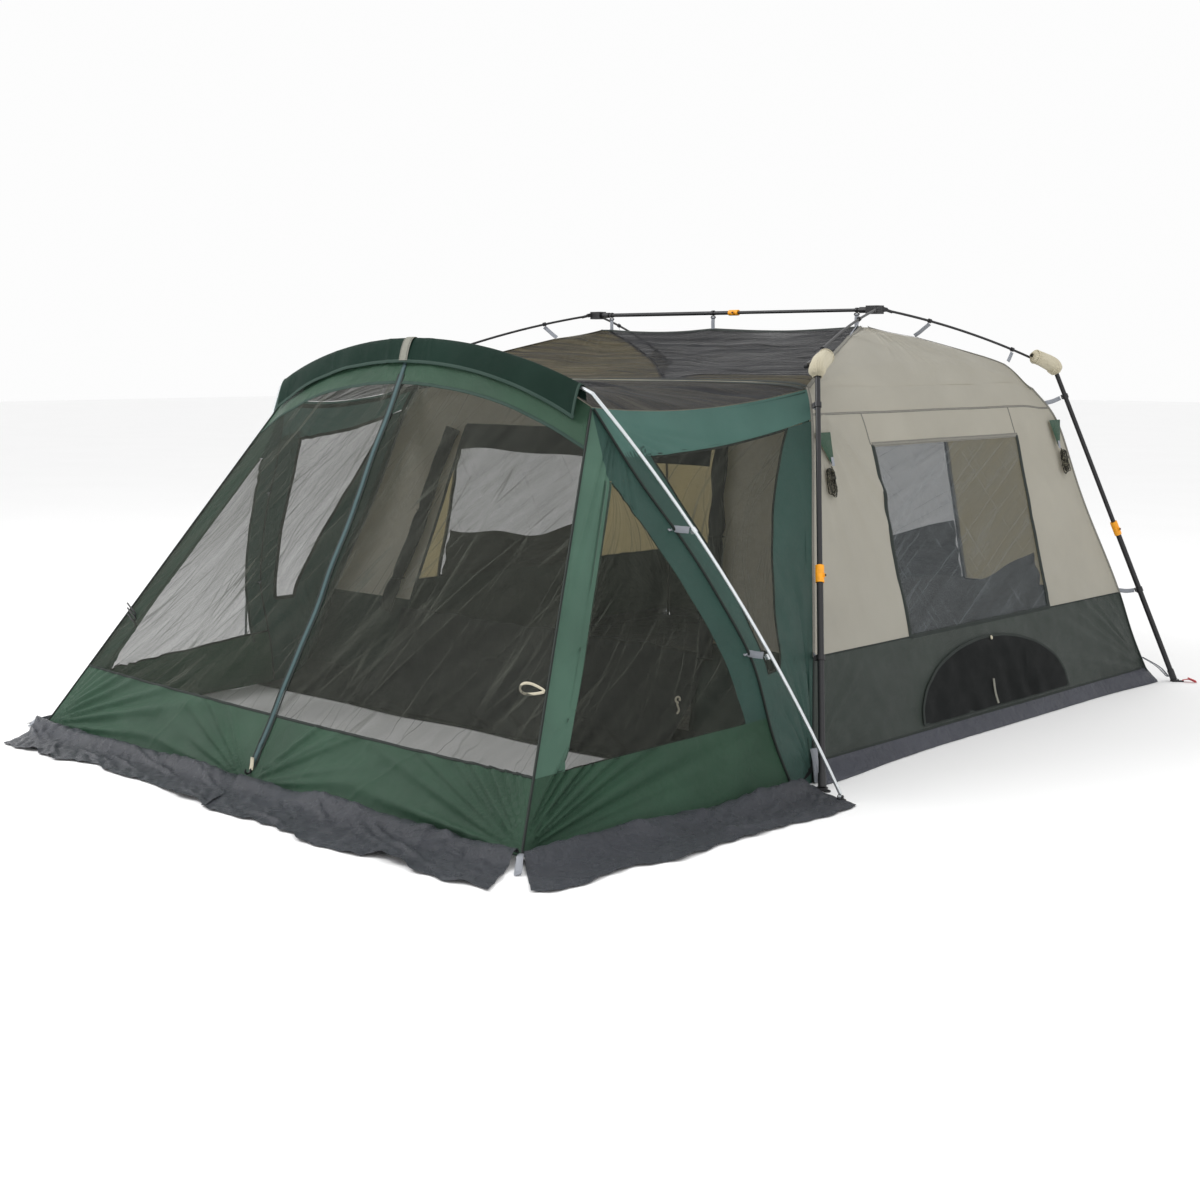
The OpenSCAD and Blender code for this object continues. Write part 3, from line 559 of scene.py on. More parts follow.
def through(points, steps):
    """Points on the smooth curve through some knots, a number of steps to each span, and the share each is at."""
    points = np.asarray(points, float)
    padded = np.concatenate([[2 * points[0] - points[1]], points, [2 * points[-1] - points[-2]]])
    spans = len(points) - 1
    shares, dense = [], []
    for k in range(spans):
        p0, p1, p2, p3 = padded[k : k + 4]
        for t in np.linspace(0, 1, steps, endpoint=False):
            square, cube = 2 * p0 - 5 * p1 + 4 * p2 - p3, 3 * p1 - p0 - 3 * p2 + p3
            shares.append((k + t) / spans)
            dense.append(0.5 * (2 * p1 + (p2 - p0) * t + square * t**2 + cube * t**3))
    return shares + [1.0], np.array(dense + [points[-1]])


def smooth_path(points, count):
    """A smooth curve through a few points, evenly spaced."""
    curve = through(points, 24)[1]
    length = np.concatenate([[0], np.cumsum(np.linalg.norm(np.diff(curve, axis=0), axis=1))])
    even = np.linspace(0, length[-1], count)
    return np.stack([np.interp(even, length, column) for column in curve.T], 1)


def spline(points):
    """A smooth curve through evenly spaced knots, as a function of 0 to 1."""
    shares, curve = through(points, 16)
    return lambda t: np.stack([np.interp(t, shares, column) for column in curve.T], -1)


def fix(piece, body="root", stands_for=()):
    """Rides a finished piece on its body and hides the frame parts it stands for; a piece on the root gets a mesh of
    its own.
    """
    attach(piece, body)
    if stands_for:
        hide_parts(*stands_for)
    if body == "root":
        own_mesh(piece)
    return piece


def cloth(name, grids, finish, body="root", stands_for=(), side=1):
    """A sheet of cloth, ridden on its body. Its flat size, the cloth's own length along and across, is worked out but
    not used.
    """
    piece = fix(build(name, grids, finish, side), body, stands_for)
    area = 0
    for grid in grids:
        a, b, c, d = grid[:-1, :-1], grid[:-1, 1:], grid[1:, 1:], grid[1:, :-1]
        area += (
            np.linalg.norm(np.cross(b - a, c - a), axis=-1) + np.linalg.norm(np.cross(c - a, d - a), axis=-1)
        ).sum() / 2
    corners = np.concatenate([grid.reshape(-1, 3) for grid in grids])
    axes = np.linalg.svd(corners - corners.mean(0), full_matrices=False)[2]
    length, width = (np.ptp((corners - corners.mean(0)) @ axes[k]) for k in (0, 1))
    grow = max(1.0, math.sqrt(area / (width * length)))
    width, length = round(width * grow + 0.005, 2), round(length * grow + 0.005, 2)
    area = float(np.clip(area, 0.31 * width * length, width * length))
    return piece


def tape_on(name, surface, path, width, finish, out=0.0012, count=60, side=1, body="root"):
    """A hem or seam tape that follows (u, v) points on a surface, slightly crowned."""
    route = smooth_path(path, count)
    u, v = route[:, 0], route[:, 1]
    middle = surface.at(u, v, out)
    ahead = unit(np.gradient(middle, axis=0))
    step = unit(surface.at(u, v, out + 0.01) - middle)
    across = np.cross(ahead, step)
    rows = []
    for share, lift in ((-0.5, -1.0), (-0.46, 0.0), (-0.2, 0.5), (0.2, 0.5), (0.46, 0.0), (0.5, -1.0)):
        rows.append(middle + across * share * width + step * lift * 0.0012)
    grid = np.array(rows)
    piece = build(name, [grid], finish, side)
    layer = piece.data.uv_layers[0]
    along = np.concatenate([[0], np.cumsum(np.linalg.norm(np.diff(middle, axis=0), axis=1))])
    shares = (0.0, 0.04, 0.3, 0.7, 0.96, 1.0)
    per_vertex = np.array([(along[j], shares[i]) for i in range(6) for j in range(count)], np.float32)
    corners = np.empty(len(piece.data.loops), np.int32)
    piece.data.loops.foreach_get("vertex_index", corners)
    layer.data.foreach_set("uv", per_vertex[corners].ravel())
    return fix(piece, body)


# ---------- guy ropes, each wound into a hank under its tab ----------

LEAN_X = (BASE_X - SHOULDER_X) / SHOULDER_Z
LEAN_Y = (BASE_Y - SHOULDER_Y) / SHOULDER_Z
HANK_BOX = {spot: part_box("guy_rope_" + spot) for spot in CORNERS}
HANK_TOP = HANK_BOX["br"][1].z
HANK_RADIUS, HANK_INNER, HANK_RUN = 0.0212, 0.0108, 0.086
TURNS_A_LAYER, LAYERS = 2, 4


def on_side_slope(along, up, off):
    """A point given along a side wall, up its slope and off its plane."""
    cos, sin = 1 / math.hypot(1, LEAN_X), LEAN_X / math.hypot(1, LEAN_X)
    return stack(BASE_X - up * sin + off * cos, along, up * cos + off * sin)


def hank_route():
    """The rope's centreline on the right wall's back corner, from its tab into layers of long turns."""
    slope = math.hypot(1, LEAN_X)
    middle, top = SHOULDER_Y + 0.024, (HANK_TOP - 0.006) * slope - 0.024
    steps = 44
    q = np.arange(0, TURNS_A_LAYER * LAYERS * steps + 1) / steps
    layer = np.minimum(np.floor(q / TURNS_A_LAYER), LAYERS - 1)
    share = q / TURNS_A_LAYER - layer
    share = np.where(layer % 2 == 0, share, 1 - share)
    radius = lerp(HANK_RADIUS, HANK_INNER, share)
    into = smooth((q - (layer + 1) * TURNS_A_LAYER + 0.35) / 0.7) + np.where(
        layer > 0, smooth((q - layer * TURNS_A_LAYER + 0.35) / 0.7) - 1, 0
    )
    off = 0.0255 - 0.0053 * (layer + np.clip(into, -1, 1))
    off = np.clip(off, 0.0255 - 0.0053 * (LAYERS - 1), 0.0255)
    whole = 2 * HANK_RUN + 2 * math.pi * radius
    at = (q % 1) * whole
    down, bend = at - HANK_RUN, math.pi * radius
    turn = np.clip(down / radius, 0, math.pi)
    turn_top = np.clip((at - 2 * HANK_RUN - bend) / radius, 0, math.pi)
    along = middle - radius * np.cos(turn) * np.where(turn_top > 0, 0, 1) + np.where(
        turn_top > 0, radius * np.cos(turn_top), 0
    )
    up = (
        top
        - np.clip(at, 0, HANK_RUN)
        - radius * np.sin(turn)
        + np.clip(at - HANK_RUN - bend, 0, HANK_RUN)
        + radius * np.sin(turn_top)
    )
    loose = smooth(np.clip(at, 0, HANK_RUN) / HANK_RUN + radius * 0) * smooth((up.max() - up) / 0.08)
    along = along + loose * (0.0095 * np.sin(2.2 * q + 0.8) + 0.006 * np.sin(5.1 * q))
    up = up + loose * 0.010 * np.sin(3.7 * q + 1.3)
    off = off + loose * 0.003 * np.sin(3.3 * q + 2.0)
    lead = np.array([[middle - 0.018, top + 0.030, 0.0165], [middle - 0.0195, top + 0.014, 0.021]])
    tail_at = np.array([along[-1], up[-1], off[-1]])
    tail = tail_at + np.array([[-0.001, -0.02, -0.0005], [-0.0035, -0.045, 0.001], [-0.006, -0.068, 0.003]])
    return np.concatenate([lead, np.stack([along, up, off], 1), tail])


def knot_route(at, size=0.0042):
    """A small overhand knot."""
    t = np.linspace(0, 2 * math.pi, 40, endpoint=False)
    return at + size * stack(np.sin(t) + 2 * np.sin(2 * t), np.cos(t) - 2 * np.cos(2 * t), -np.sin(3 * t)) * 0.62


def guy_rope(spot):
    sx, sy = CORNERS[spot]
    route = hank_route()
    path = smooth_path(on_side_slope(*route.T) * (sx, sy, 1), 420)
    normal = on_side_slope(0, 0, 1.0) - on_side_slope(0, 0, 0.0)
    cord = swept("guy_rope_" + spot + "_line", path, "rope", circle(ROPE_D / 2, 8), up=normal * (sx, 1, 1))
    middle = on_side_slope(SHOULDER_Y + 0.024, route[2, 1] - 0.020, 0.0175) * (sx, sy, 1)
    turns = np.linspace(0, 3 * 2 * math.pi, 70)
    ahead, out = np.array([0, 1, 0.0]), normal * (sx, 1, 1)
    down = np.cross(ahead, out)
    down = down if down[2] < 0 else -down
    wrap = middle + np.outer(np.cos(turns) * 0.0275, ahead) + np.outer(np.sin(turns) * 0.0170, out)
    wrap = wrap + np.outer(turns / (2 * math.pi) * 0.0050, down)
    tie = swept("guy_rope_" + spot + "_tie", wrap, "rope", circle(0.0022, 8), up=down)
    knot = swept("guy_rope_" + spot + "_knot", knot_route(path[-1]), "rope", circle(0.0022, 8), up=normal, closed=True)
    fix(cord, stands_for=["guy_rope_" + spot])
    for piece in (tie, knot):
        fix(piece)


for spot in CORNERS:
    guy_rope(spot)

# ---------- cabin walls ----------

CLIP_LOW_Z, CLIP_HIGH_Z = 0.530, 1.640


def pull_in(z):
    """How far a corner seam draws in between the points that hold it."""
    z = np.clip(z, 0, SHOULDER_Z)
    upper = 0.016 * np.sin(math.pi * np.clip((z - CLIP_LOW_Z) / (CLIP_HIGH_Z - CLIP_LOW_Z), 0, 1)) ** 2
    return upper + 0.007 * np.sin(math.pi * np.clip(z / CLIP_LOW_Z, 0, 1)) ** 2


def side_half(z):
    return BASE_Y - LEAN_Y * z - pull_in(z)


def end_half(z):
    return BASE_X - LEAN_X * z - pull_in(z)


def calm(u, half, power=10):
    """1 over the cloth and 0 at its side edges."""
    return 1 - np.clip(np.abs(u) / half, 0, 1) ** power


def side_base(y, z):
    ground = smooth(1 - z / EDGE_TOP_Z)
    flare = ground * (0.020 + 0.055 * bell(y, -1.55, 0.45) + 0.030 * bell(y, 1.60, 0.3))
    return stack(BASE_X - LEAN_X * z - pull_in(z) * (np.abs(y) / side_half(z)) ** 6 + flare, y, z)


def side_relief(y, z):
    billow = -0.012 * calm(y, 1.4, 2) * np.sin(math.pi * np.clip(z / SHOULDER_Z, 0, 1))
    low = smooth((GREEN_TOP_Z + 0.25 - z) / 0.4)
    pulls = 0.015 * low * fan(y, z, (1.66, 0.06), 118, 178, 8, 1.15, 3)
    pulls = pulls + 0.011 * low * fan(y, z, (-1.66, 0.06), 4, 60, 6, 0.8, 5)
    pulls = pulls + 0.020 * fan(y, z, (1.12, 1.66), 225, 285, 7, 1.0, 7)
    pulls = pulls + 0.015 * fan(y, z, (-1.12, 1.66), -100, -40, 6, 0.9, 9)
    gentle = 0.0035 * soft(y, z, 0.30, 11) + 0.0012 * soft(y, z, 0.07, 12)
    return (billow + pulls + gentle) * calm(y, side_half(z))


def end_base(back):
    def base(x, z):
        reach = BASE_Y - LEAN_Y * z - pull_in(z) * (np.abs(x) / end_half(z)) ** 6
        flare = 0.02 * smooth(1 - z / EDGE_TOP_Z) if back > 0 else 0
        return stack(x, back * (reach + flare), z)

    return base


def end_relief(x, z):
    billow = -0.012 * calm(x, 1.6, 2) * np.sin(math.pi * np.clip(z / SHOULDER_Z, 0, 1))
    low = smooth((GREEN_TOP_Z + 0.25 - z) / 0.4)
    pulls = 0.014 * low * (fan(x, z, (1.85, 0.06), 120, 178, 8, 1.2, 21) + fan(x, z, (-1.85, 0.06), 2, 60, 8, 1.2, 22))
    pulls = pulls + 0.008 * (
        fan(x, z, (1.41, 1.76), 195, 260, 6, 0.8, 23) + fan(x, z, (-1.41, 1.76), -80, -15, 6, 0.8, 24)
    )
    return (billow + pulls + 0.0035 * soft(x, z, 0.32, 25) + 0.0012 * soft(x, z, 0.07, 26)) * calm(x, end_half(z))


SIDE_WALL = Surface(side_base, side_relief, 1)
BACK_WALL = Surface(end_base(1), end_relief, -1)
FRONT_WALL = Surface(end_base(-1), lambda x, z: 0.6 * end_relief(x, z), 1)


def as_curve(value):
    return value if callable(value) else lambda x: np.full(np.shape(x), float(value))


def level(half, z):
    """A seam's path straight across a wall at one height."""
    return [(-half(z), z), (0, z), (half(z), z)]


def field(surface, left, right, low, high, columns, rows, out=0.0):
    """A grid on a surface. left and right give u at a height v, low and high give v at a share across."""
    left, right, low, high = (as_curve(c) for c in (left, right, low, high))
    s, t = np.meshgrid(np.linspace(0, 1, columns + 1), np.linspace(0, 1, rows + 1))
    v = lerp(low(s), high(s), t)
    return surface.at(lerp(left(v), right(v), s), v, out)


def around_window(surface, half, edge, low, high, top, fine=0.016):
    """Three grids that leave a window open: beside it left and right, and over it."""
    rows = int((high - low) / fine)
    beside = int((edge(low) - half) / fine)
    return [
        field(surface, lambda z: -edge(z), -half, low, high, beside, rows),
        field(surface, half, edge, low, high, beside, rows),
        field(surface, lambda z: -edge(z), edge, high, top, int(2 * edge(high) / fine), int((top - high) / fine)),
    ]


def flap_route(surface, half, low, high, sag, seed):
    """A window's inner cover, let down and lying in sagging folds over the window's lower part, inside."""
    columns, rows = int(2 * half / 0.014), 26
    s, t = np.meshgrid(np.linspace(-1, 1, columns + 1), np.linspace(0, 1, rows + 1))
    top = low + (high - low) * (0.36 - sag * (1 - s**2) + 0.03 * soft(s * half, s * 0, 0.5, seed))
    z = lerp(low + 0.004, top, t)
    folds = 0.012 * np.sin(t * 13 + 2.2 * soft(s * half, t, 0.6, seed + 1)) * np.sin(math.pi * t)
    return surface.at(s * (half - 0.006), z, -0.024 + folds)


def window(name, surface, half, low, high, side=1):
    pane = field(surface, -half, half, low, high, int(2 * half / 0.02), int((high - low) / 0.02), -0.003)
    extras = []
    for part, path, finish, width in (
        ("hem_low", [(-half, low), (0, low), (half, low)], "tape_dark", 0.020),
        ("hem_high", [(-half - 0.01, high), (0, high), (half + 0.01, high)], "tape_grey", 0.024),
        ("hem_near", [(-half, low), (-half, 0.5 * (low + high)), (-half, high)], "tape_dark", 0.030),
        ("hem_far", [(half, low), (half, 0.5 * (low + high)), (half, high)], "tape_dark", 0.030),
    ):
        extras.append(tape_on(name + "_" + part, surface, path, width, finish, side=side, count=90))
    return pane, extras


def cabin_side(name, side):
    beige = around_window(SIDE_WALL, WINDOW_HALF, side_half, GREEN_TOP_Z, WINDOW_HIGH, SHOULDER_Z)
    columns = int(2 * BASE_Y / 0.015)
    cloth("wall_" + name + "_beige", beige, "beige", side=side, stands_for=["wall_" + name])
    green = field(SIDE_WALL, lambda z: -side_half(z), side_half, EDGE_TOP_Z, GREEN_TOP_Z, columns, 30)
    cloth("wall_" + name + "_green", [green], "dusk", side=side)
    edge = field(SIDE_WALL, lambda z: -side_half(z), side_half, 0.002, EDGE_TOP_Z, columns, 8)
    cloth("wall_" + name + "_edge", [edge], "edge", side=side)
    pane, hems = window("window_" + name, SIDE_WALL, WINDOW_HALF, WINDOW_LOW, WINDOW_HIGH, side)
    replaced = ["windows"] if side > 0 else []
    cloth("window_" + name + "_mesh", [pane], "window", side=side, stands_for=replaced)
    flap = flap_route(SIDE_WALL, WINDOW_HALF, WINDOW_LOW, WINDOW_HIGH, 0.10, 41)
    cloth("window_" + name + "_flap", [flap], "flap", side=side)
    seams = (
        ("eave_seam", level(side_half, EAVE_SEAM_Z), 0.012, "tape_grey"),
        ("panel_seam", level(side_half, GREEN_TOP_Z), 0.008, "tape_dark"),
        ("edge_seam", level(side_half, EDGE_TOP_Z), 0.012, "tape_dark"),
        ("near_seam", [(-0.735, EAVE_SEAM_Z), (-0.70, WINDOW_HIGH)], 0.009, "tape_grey"),
        ("far_seam", [(0.645, EAVE_SEAM_Z), (0.672, WINDOW_HIGH)], 0.009, "tape_grey"),
    )
    for part, path, width, finish in seams:
        tape_on("wall_" + name + "_" + part, SIDE_WALL, path, width, finish, side=side, count=160)
    vent(name, side)


def vent(name, side):
    """The half-moon vent flap, its piping, and the strap that pulls it."""
    s, r = np.meshgrid(np.linspace(0, math.pi, 121), np.linspace(0.02, 1, 34))
    y, z = VENT_HALF * np.cos(s) * r, VENT_LOW + VENT_RISE * np.sin(s) * r
    crumple = 0.006 + 0.005 * (1 - r**4) * (1 + soft(y, z, 0.10, 51)) + 0.004 * (1 - r**6) * creases(
        y, z, 1.2, 14, ((-0.8, 0.8), (0, 0.5)), 52, 0.012, 0.2
    )
    grid = SIDE_WALL.at(y, z, crumple)
    path = [(VENT_HALF * math.cos(a), VENT_LOW + VENT_RISE * math.sin(a)) for a in np.linspace(0, math.pi, 13)]
    hems = [
        tape_on("vent_" + name + "_piping", SIDE_WALL, path, 0.016, "tape_dark", 0.007, 140, side),
        tape_on(
            "vent_" + name + "_sill", SIDE_WALL, [(-VENT_HALF, VENT_LOW), (0, VENT_LOW), (VENT_HALF, VENT_LOW)], 0.014,
            "tape_dark", 0.007, 120, side,
        ),
        tape_on(
            "vent_" + name + "_strap", SIDE_WALL, [(-0.03, 0.235), (-0.035, 0.17), (-0.03, 0.112)], 0.018,
            "tape_tab", 0.016, 16, side,
        ),
    ]
    cloth(
        "vent_" + name, [grid], "vent", side=side, stands_for=["vent_flaps"] if side > 0 else [],
    )
    toggle = swept(
        "vent_" + name + "_toggle", SIDE_WALL.at(np.full(5, 0.02), np.linspace(0.425, 0.445, 5), 0.013), "strap_cream",
        circle(0.006, 12), up=(0, 1, 0), side=side, sizes=(0.5, 0.95, 1.1, 0.95, 0.5),
    )
    fix(toggle)


for name, side in SIDES.items():
    cabin_side(name, side)


def corner_bindings():
    """Piping down the cabin's four corner seams, which hides where the walls meet."""
    for spot in CORNERS:
        for part, low, high, finish in (
            ("low", 0.004, GREEN_TOP_Z, "tape_dark"), ("high", GREEN_TOP_Z, SHOULDER_Z, "tape_grey")
        ):
            z = np.linspace(low, high, 60)
            flare = 0.02 * smooth(1 - z / EDGE_TOP_Z)
            path = ease_corner(
                stack(end_half(z) - 0.002 + flare, side_half(z) - 0.002 + flare, z) * (*CORNERS[spot], 1)
            )
            piece = swept("wall_corner_%s_%s" % (spot, part), path, finish, circle(0.0085, 8), up=(0, 1, 0))
            fix(piece)


corner_bindings()


def cabin_back():
    beige = around_window(BACK_WALL, BACK_WINDOW_HALF, end_half, GREEN_TOP_Z, WINDOW_HIGH, SHOULDER_Z)
    columns = int(2 * BASE_X / 0.015)
    cloth("wall_back_beige", beige, "beige", stands_for=["wall_back"])
    green = field(BACK_WALL, lambda z: -end_half(z), end_half, EDGE_TOP_Z, GREEN_TOP_Z, columns, 30)
    cloth("wall_back_green", [green], "dusk")
    edge = field(BACK_WALL, lambda z: -end_half(z), end_half, 0.002, EDGE_TOP_Z, columns, 8)
    cloth("wall_back_edge", [edge], "edge")
    pane, hems = window("window_back", BACK_WALL, BACK_WINDOW_HALF, WINDOW_LOW, WINDOW_HIGH)
    cloth("window_back_mesh", [pane], "window")
    flap = flap_route(BACK_WALL, BACK_WINDOW_HALF, WINDOW_LOW, WINDOW_HIGH, 0.10, 61)
    cloth("window_back_flap", [flap], "flap")
    for part, z, width, finish in (
        ("eave_seam", EAVE_SEAM_Z, 0.012, "tape_grey"),
        ("panel_seam", GREEN_TOP_Z, 0.008, "tape_dark"),
        ("edge_seam", EDGE_TOP_Z, 0.012, "tape_dark"),
    ):
        path = level(end_half, z)
        tape_on("wall_back_" + part, BACK_WALL, path, width, finish, count=160)


cabin_back()


def door_half(z):
    return lerp(DOOR_LOW_HALF, DOOR_TOP_HALF, (z - DOOR_LOW) / (DOOR_HIGH - DOOR_LOW))


def roll_x(z, side):
    """How far from the middle a rolled door half hangs."""
    return lerp(1.175 if side < 0 else 1.13, 0.955, (z - 0.47) / (DOOR_HIGH - 0.47))


def cabin_front():
    """The wall behind the screen room, its doorway, the rolled door halves and the panel let down over the sill."""
    rows = int((DOOR_HIGH - GREEN_TOP_Z) / 0.02)
    beside = 40
    grids = [
        field(FRONT_WALL, lambda z: -end_half(z), lambda z: -door_half(z), GREEN_TOP_Z, DOOR_HIGH, beside, rows),
        field(FRONT_WALL, door_half, end_half, GREEN_TOP_Z, DOOR_HIGH, beside, rows),
        field(FRONT_WALL, lambda z: -end_half(z), end_half, DOOR_HIGH, SHOULDER_Z, 150, 14),
    ]
    cloth("wall_front_beige", grids, "beige", stands_for=["wall_front"])
    grids = [
        field(FRONT_WALL, lambda z: -end_half(z), lambda z: -door_half(z), DOOR_LOW, GREEN_TOP_Z, beside, 20),
        field(FRONT_WALL, door_half, end_half, DOOR_LOW, GREEN_TOP_Z, beside, 20),
        field(FRONT_WALL, lambda z: -end_half(z), end_half, 0.004, DOOR_LOW, 150, 5),
    ]
    cloth("wall_front_green", grids, "pine")
    tape_on(
        "door_header_hem", FRONT_WALL, [(-DOOR_TOP_HALF, DOOR_HIGH), (0, DOOR_HIGH), (DOOR_TOP_HALF, DOOR_HIGH)], 0.022,
        "tape_dark", count=100,
    )
    for name, side in SIDES.items():
        path = [(side * door_half(z), z) for z in (DOOR_LOW, 0.5, 1.0, DOOR_HIGH)]
        tape_on("door_hem_" + name, FRONT_WALL, path, 0.022, "tape_dark", count=100)
        z = np.linspace(0.44, DOOR_HIGH - 0.03, 70)
        centre = FRONT_WALL.at(side * roll_x(z, side), z, 0.040)
        centre = centre + stack(0.008 * np.sin(z * 9), 0 * z, 0 * z)
        turns = np.linspace(0, 2 * math.pi, 22, endpoint=False)
        lumpy = 0.036 * (1 + 0.07 * np.sin(3 * turns + 1) + 0.05 * np.sin(7 * turns))
        sizes = 1 + 0.10 * soft(z, z * 0, 0.12, 71 + side) - 0.28 * bell(z, 1.0, 0.03) - 0.25 * bell(z, 0.62, 0.03)
        roll = swept(
            "door_roll_" + name, centre, "black", np.stack([lumpy * np.cos(turns), lumpy * np.sin(turns)], 1),
            up=(0, 1, 0), sizes=sizes,
        )
        fix(roll, stands_for=["door_rolls"] if side > 0 else [])
        for z_tie in (0.62, 1.0):
            at = FRONT_WALL.at(side * roll_x(z_tie, side), z_tie, 0.040)
            ring = at + stack(0.031 * np.cos(turns), 0.031 * np.sin(turns), 0 * turns)
            tie = swept(
                "door_tie_%s_%d" % (name, round(z_tie * 100)), ring, "tape_dark", strap_outline(0.022), up=(0, 0, 1),
                closed=True,
            )
            fix(tie)
    s, t = np.meshgrid(np.linspace(-1, 1, 110), np.linspace(0, 1, 12))
    drop = 0.125 + 0.02 * s**2 + 0.012 * soft(s, s * 0, 0.3, 81)
    header = FRONT_WALL.at(
        s * (DOOR_TOP_HALF - 0.01), DOOR_HIGH - t * drop,
        0.012 + 0.010 * np.sin(math.pi * t) + 0.004 * soft(s, t * 0.1, 0.15, 82),
    )
    cloth("door_header", [header], "black")
    curtain()


def curtain():
    """The dark lower half of the door, let down and lying out over the sill."""
    s, t = np.meshgrid(np.linspace(-1, 1, 150), np.linspace(0, 1, 60))
    half = DOOR_LOW_HALF - 0.012
    profile = spline([(-1.501, 0.470), (-1.560, 0.300), (-1.690, 0.150), (-1.800, 0.050), (-1.925, 0.010)])
    p = profile(t)
    ripple = 0.010 * creases(s * half, t * 0.6, 0.5, 30, ((-1.1, 1.1), (-1.1, 1.1)), 91, 0.03, 0.4)
    ripple = ripple + 0.010 * soft(s * half, t * 0.6, 0.14, 92) * (1 - 0.5 * t)
    wave = 0.015 * soft(s * half, t * 0, 0.5, 93) * t
    grid = stack(s * half, p[..., 0] - wave, np.maximum(p[..., 1] + np.abs(ripple), 0.008))
    s, t = np.meshgrid(np.linspace(-1, 1, 190), np.linspace(0, 1, 30))
    p = spline([(-1.612, 0.115), (-1.655, 0.060), (-1.735, 0.022), (-1.840, 0.007), (-1.950, 0.004)])(t)
    ripple = 0.012 * np.abs(creases(s * 1.8, t * 0.4, 0.8, 40, ((-1.8, 1.8), (-1.8, 1.8)), 94, 0.02, 0.3))
    flap = stack(s * 1.845, p[..., 0] - 0.012 * soft(s * 1.8, t * 0, 0.4, 95) * t, p[..., 1] + ripple * smooth(4 * t))
    grid = [grid[::-1], flap[::-1]]
    cloth(
        "door_curtain_cloth", grid, "black",
        stands_for=["door_curtain"],
    )


cabin_front()

# ---------- roof ----------

HELD_AT = (0.0, 0.22, 0.74, 1.0)
RIDGE_HELD_X = (-0.88, -0.10, 0.88)


def sag_between(t, held, depth):
    """A dip between each two points that hold an edge."""
    total = 0 * t
    for a, b in zip(held[:-1], held[1:]):
        inside = (t >= a) & (t <= b)
        total = total + np.where(inside, np.sin(math.pi * np.clip((t - a) / (b - a), 0, 1)) * depth * (b - a) ** 0.5, 0)
    return total


def hip_edge(t):
    """The seam between a hip and the mesh roof, from the shoulder to the peak: x, y and z."""
    dip = sag_between(t, HELD_AT, 0.014)
    crown = 0.032 * 4 * t * (1 - t) * lerp(1.3, 0.6, t)
    z = lerp(SHOULDER_Z, PEAK_Z, t) - 0.5 * dip + crown
    return lerp(SHOULDER_X, PEAK_X, t) - 0.3 * dip, lerp(SHOULDER_Y, 0.030, t) - dip, z


def hip_base(u, t):
    x, y, z = hip_edge(np.clip(t, 0, 1))
    crown = (1 - u**2) * np.sin(math.pi * np.clip(t, 0, 1))
    return stack(x + 0.02 * crown, u * y, z + 0.012 * crown + (t - np.clip(t, 0, 1)) * 0.3)


def hip_relief(u, t):
    y = u * hip_edge(np.clip(t, 0, 1))[1]
    pulls = 0.010 * (fan(y, t, (0.0, 1.03), -112, -68, 7, 0.6, 101) + fan(y, t * 0.5, (1.12, 0), 120, 176, 5, 0.7, 102))
    pulls = pulls + 0.010 * fan(y, t * 0.5, (-1.12, 0), 4, 60, 5, 0.7, 103) + 0.009 * fan(
        y, t * 0.5, (-0.1, 0.42), -75, -20, 6, 0.9, 106
    )
    return (pulls + 0.003 * soft(y, t * 0.5, 0.22, 104) + 0.001 * soft(y, t * 0.5, 0.06, 105)) * calm(u, 1.0, 8) * calm(
        2 * t - 1, 1.0, 8
    )


def roof_base(back):
    def base(w, t):
        clipped = np.clip(t, 0, 1)
        x, y, z = hip_edge(clipped)
        ridge_x = w * x
        ridge_dip = 0 * w
        for a, b in zip(RIDGE_HELD_X[:-1], RIDGE_HELD_X[1:]):
            inside = (ridge_x >= a) & (ridge_x <= b)
            ridge_dip = ridge_dip + np.where(inside, np.sin(math.pi * (ridge_x - a) / (b - a)) * 0.016, 0)
        sag = 0.055 * (1 - w**2) * 4 * clipped * (1 - clipped)
        y = lerp(y, lerp(SHOULDER_Y - 0.020 * (1 - w**2), 0.0, clipped), 1 - w**10)
        return stack(ridge_x, back * y, z - sag - ridge_dip * clipped**3 + (t - clipped) * 0.3)

    return base


def roof_relief(seed):
    def relief(w, t):
        x, y = w * 1.2, t * 1.1
        pleats = 0.007 * creases(x, y, 0.0, 22, ((-0.1, 1.1), (-1.0, 1.0)), seed, 0.022, 0.7)
        pleats = pleats + 0.006 * creases(x, y, 0.35, 10, ((-0.4, 1.2), (-1.0, 1.0)), seed + 1, 0.018, 0.4)
        return (pleats + 0.005 * soft(x, y, 0.2, seed + 2)) * calm(w, 1.0, 8) * calm(2 * t - 1, 1.0, 8)

    return relief


